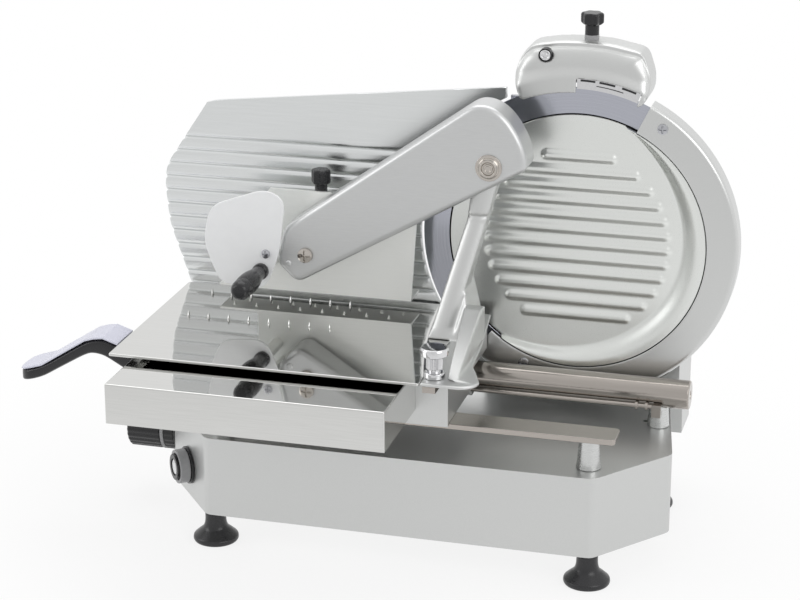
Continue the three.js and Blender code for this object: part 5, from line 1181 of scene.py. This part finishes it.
def open_pan(name, outline, front, depth, wall, roll, cleared, extra):
    """A pan pressed from sheet: a flat face, a quarter roll all round it, and a flange back to its
    rim, outside and inside alike. Where cleared says so, the flange ends behind the roll."""
    outline = counter_clockwise(outline)
    a = np.linspace(0, np.pi / 2, 9)
    rows = [(roll + 1, 0)] + [(roll * (1 - np.sin(t)), roll * (1 - np.cos(t))) for t in a]
    rows += [(0, depth - 0.8), (0.3, depth), (wall - 0.3, depth), (wall, depth - 0.8)]
    bend = roll - wall
    rows += [(wall + bend * (1 - np.sin(t)), wall + bend * (1 - np.cos(t))) for t in a[::-1]]
    behind = np.where(cleared(outline), roll + 0.6, depth)
    grid = np.zeros((len(rows), len(outline) + 1, 3))
    for row, (distance, height) in enumerate(rows):
        ring = moved_in(outline, distance)
        points = np.column_stack([ring[:, 0], front + np.minimum(height, behind), ring[:, 1]])
        grid[row] = np.vstack([points, points[:1]])
    return skin(name, [grid, *extra], both_ends(grid))


def over_column(outline):
    """The arm's outline from below its pivot to the right of it, where the column stands."""
    angle = np.degrees(np.arctan2(outline[:, 1] - PIVOT[1], outline[:, 0] - PIVOT[0])) % 360
    return (angle > 226) & (angle < 350)


# Brushed aluminium of the arm: fine lines along its length, which runs up at about 33 degrees.
brushed_arm = worked_metal(
    "brushed_anodised_aluminium", "#c9caca", "#cfd0d0", 0.32, 0.4, 0.45, stretch=(26, 1, 1),
    bump=0.004, turn=-0.58, metal=0.8,
)
rivet = turned(eased([
    (0, 1.6), (2.2, 1.6), (3.4, 0.9), (4, -0.4), (0, -0.4),
], 0.5), (HINGE[0] - 20, ARM_FRONT, HINGE[1] - 11), -Y, 40)
arm_edge = spaced(eased(ARM_OUTLINE, 11.0, steps=6, closed=True), 1.0)
fit(open_pan(
    "arm_pressing", arm_edge, ARM_FRONT, ARM_DEPTH, ARM_WALL, ARM_ROLL, over_column, [rivet],
), "arm", "cast_aluminium", brushed_arm, "arm_cover")
# Nickel-plated steel of the pivot: a warm grey that shows its turned steps.
nickel_steel = worked_metal("nickel_plated_steel", "#b9b3ac", "#c6c1bb", 0.12, 0.2, 0.7, bump=0.006)
pivot_profile = eased([
    (0, 3.6), (3.0, 3.6), (3.4, 4.6), (4.8, 4.6), (5.2, 3.2), (6.4, 3.2), (7.6, 4.9), (9.6, 5), (10.4, 3.0),
    (11.2, 2.4), (11.6, 1.2), (14.2, 1.2), (14.5, 0.9), (14.5, 0), (8, 0), (8, -26), (0, -26),
], 0.35)
pivot_bolt = turned(pivot_profile, (PIVOT[0], ARM_FRONT - 0.3, PIVOT[1]), -Y, 96)
fit(skin("pivot_bolt_turned", [pivot_bolt]), "arm", "satin_steel", nickel_steel, "pivot_bolt")
screw_face = cross_head(
    (HINGE[0], ARM_FRONT - 0.3, HINGE[1]), -Y, 8.5, 4.6, 1.9, 0.95, shank=(3.5, 29),
)
fit(skin("hinge_screw", [screw_face]), "arm", "satin_steel", nickel_steel, "press_screw")

# Press
# A small steel plate with spikes under it holds the meat. It carries an upright panel, a white
# guard for the hand, a black handle and a lobed knob on a boss.
# Bright rolled aluminium sheet: nearly white, with a faint grain.
bright_sheet = worked_metal(
    "bright_rolled_aluminium_sheet", "#f5f6f3", "#f8f9f6", 0.28, 0.29, 0.6, stretch=(30, 1, 1),
    bump=0.0003, metal=0.45,
)
dressed("press_plate", "press_casting", "press", "satin_steel", bright_sheet, soften=0.5, segments=2)
GUARD_FRONT = 113.0
GUARD_POINTS = np.array([
    (0.22, 0.031), (0.743, 0), (0.918, 0.361), (1, 0.905), (0.764, 0.998), (0.094, 0.798),
    (0, 0.446), (0.132, 0.157),
]) * (95.5, 116.3) + (-250, 258.7)
guard_outline = eased(GUARD_POINTS, 16.0, steps=8, closed=True)
fit(
    slab("guard_sheet", guard_outline, "y", GUARD_FRONT, GUARD_FRONT + 3, edge=1.0),
    "press", "white_plastic", smooth_white, "hand_guard",
)
handle_profile = np.concatenate([
    eased([(0, -0.4), (9, -0.4), (9, -6), (7.7, -7)], 0.8),
    eased([(7.8, -10), (8.8, -22), (11.4, -36), (11.9, -52), (11.1, -60)], 8.0, steps=8),
    eased([(10.7, -61), (11.3, -63), (10.9, -72), (7.4, -77.6), (0, -78.3)], 3.0, steps=6),
])
fit(
    skin("handle_moulding", [turned(handle_profile, (-183, GUARD_FRONT, 281), Y, 72)]),
    "press", "black_plastic", moulded_black, "press_handle",
)
guard_screw = cross_head(
    (-177.3, GUARD_FRONT - 0.3, HINGE[1]), -Y, 5.0, 2.4, 1.2, 0.6, shank=(2.4, 10),
)
fit(skin("guard_bolt", [guard_screw]), "press", "satin_steel", plated_steel, "guard_screw")
lobed_knob("press_lock_grip", "press_lock", (-132, 174, 355.3), (7, 0, 12), (11, 17), "press_lock_knob")
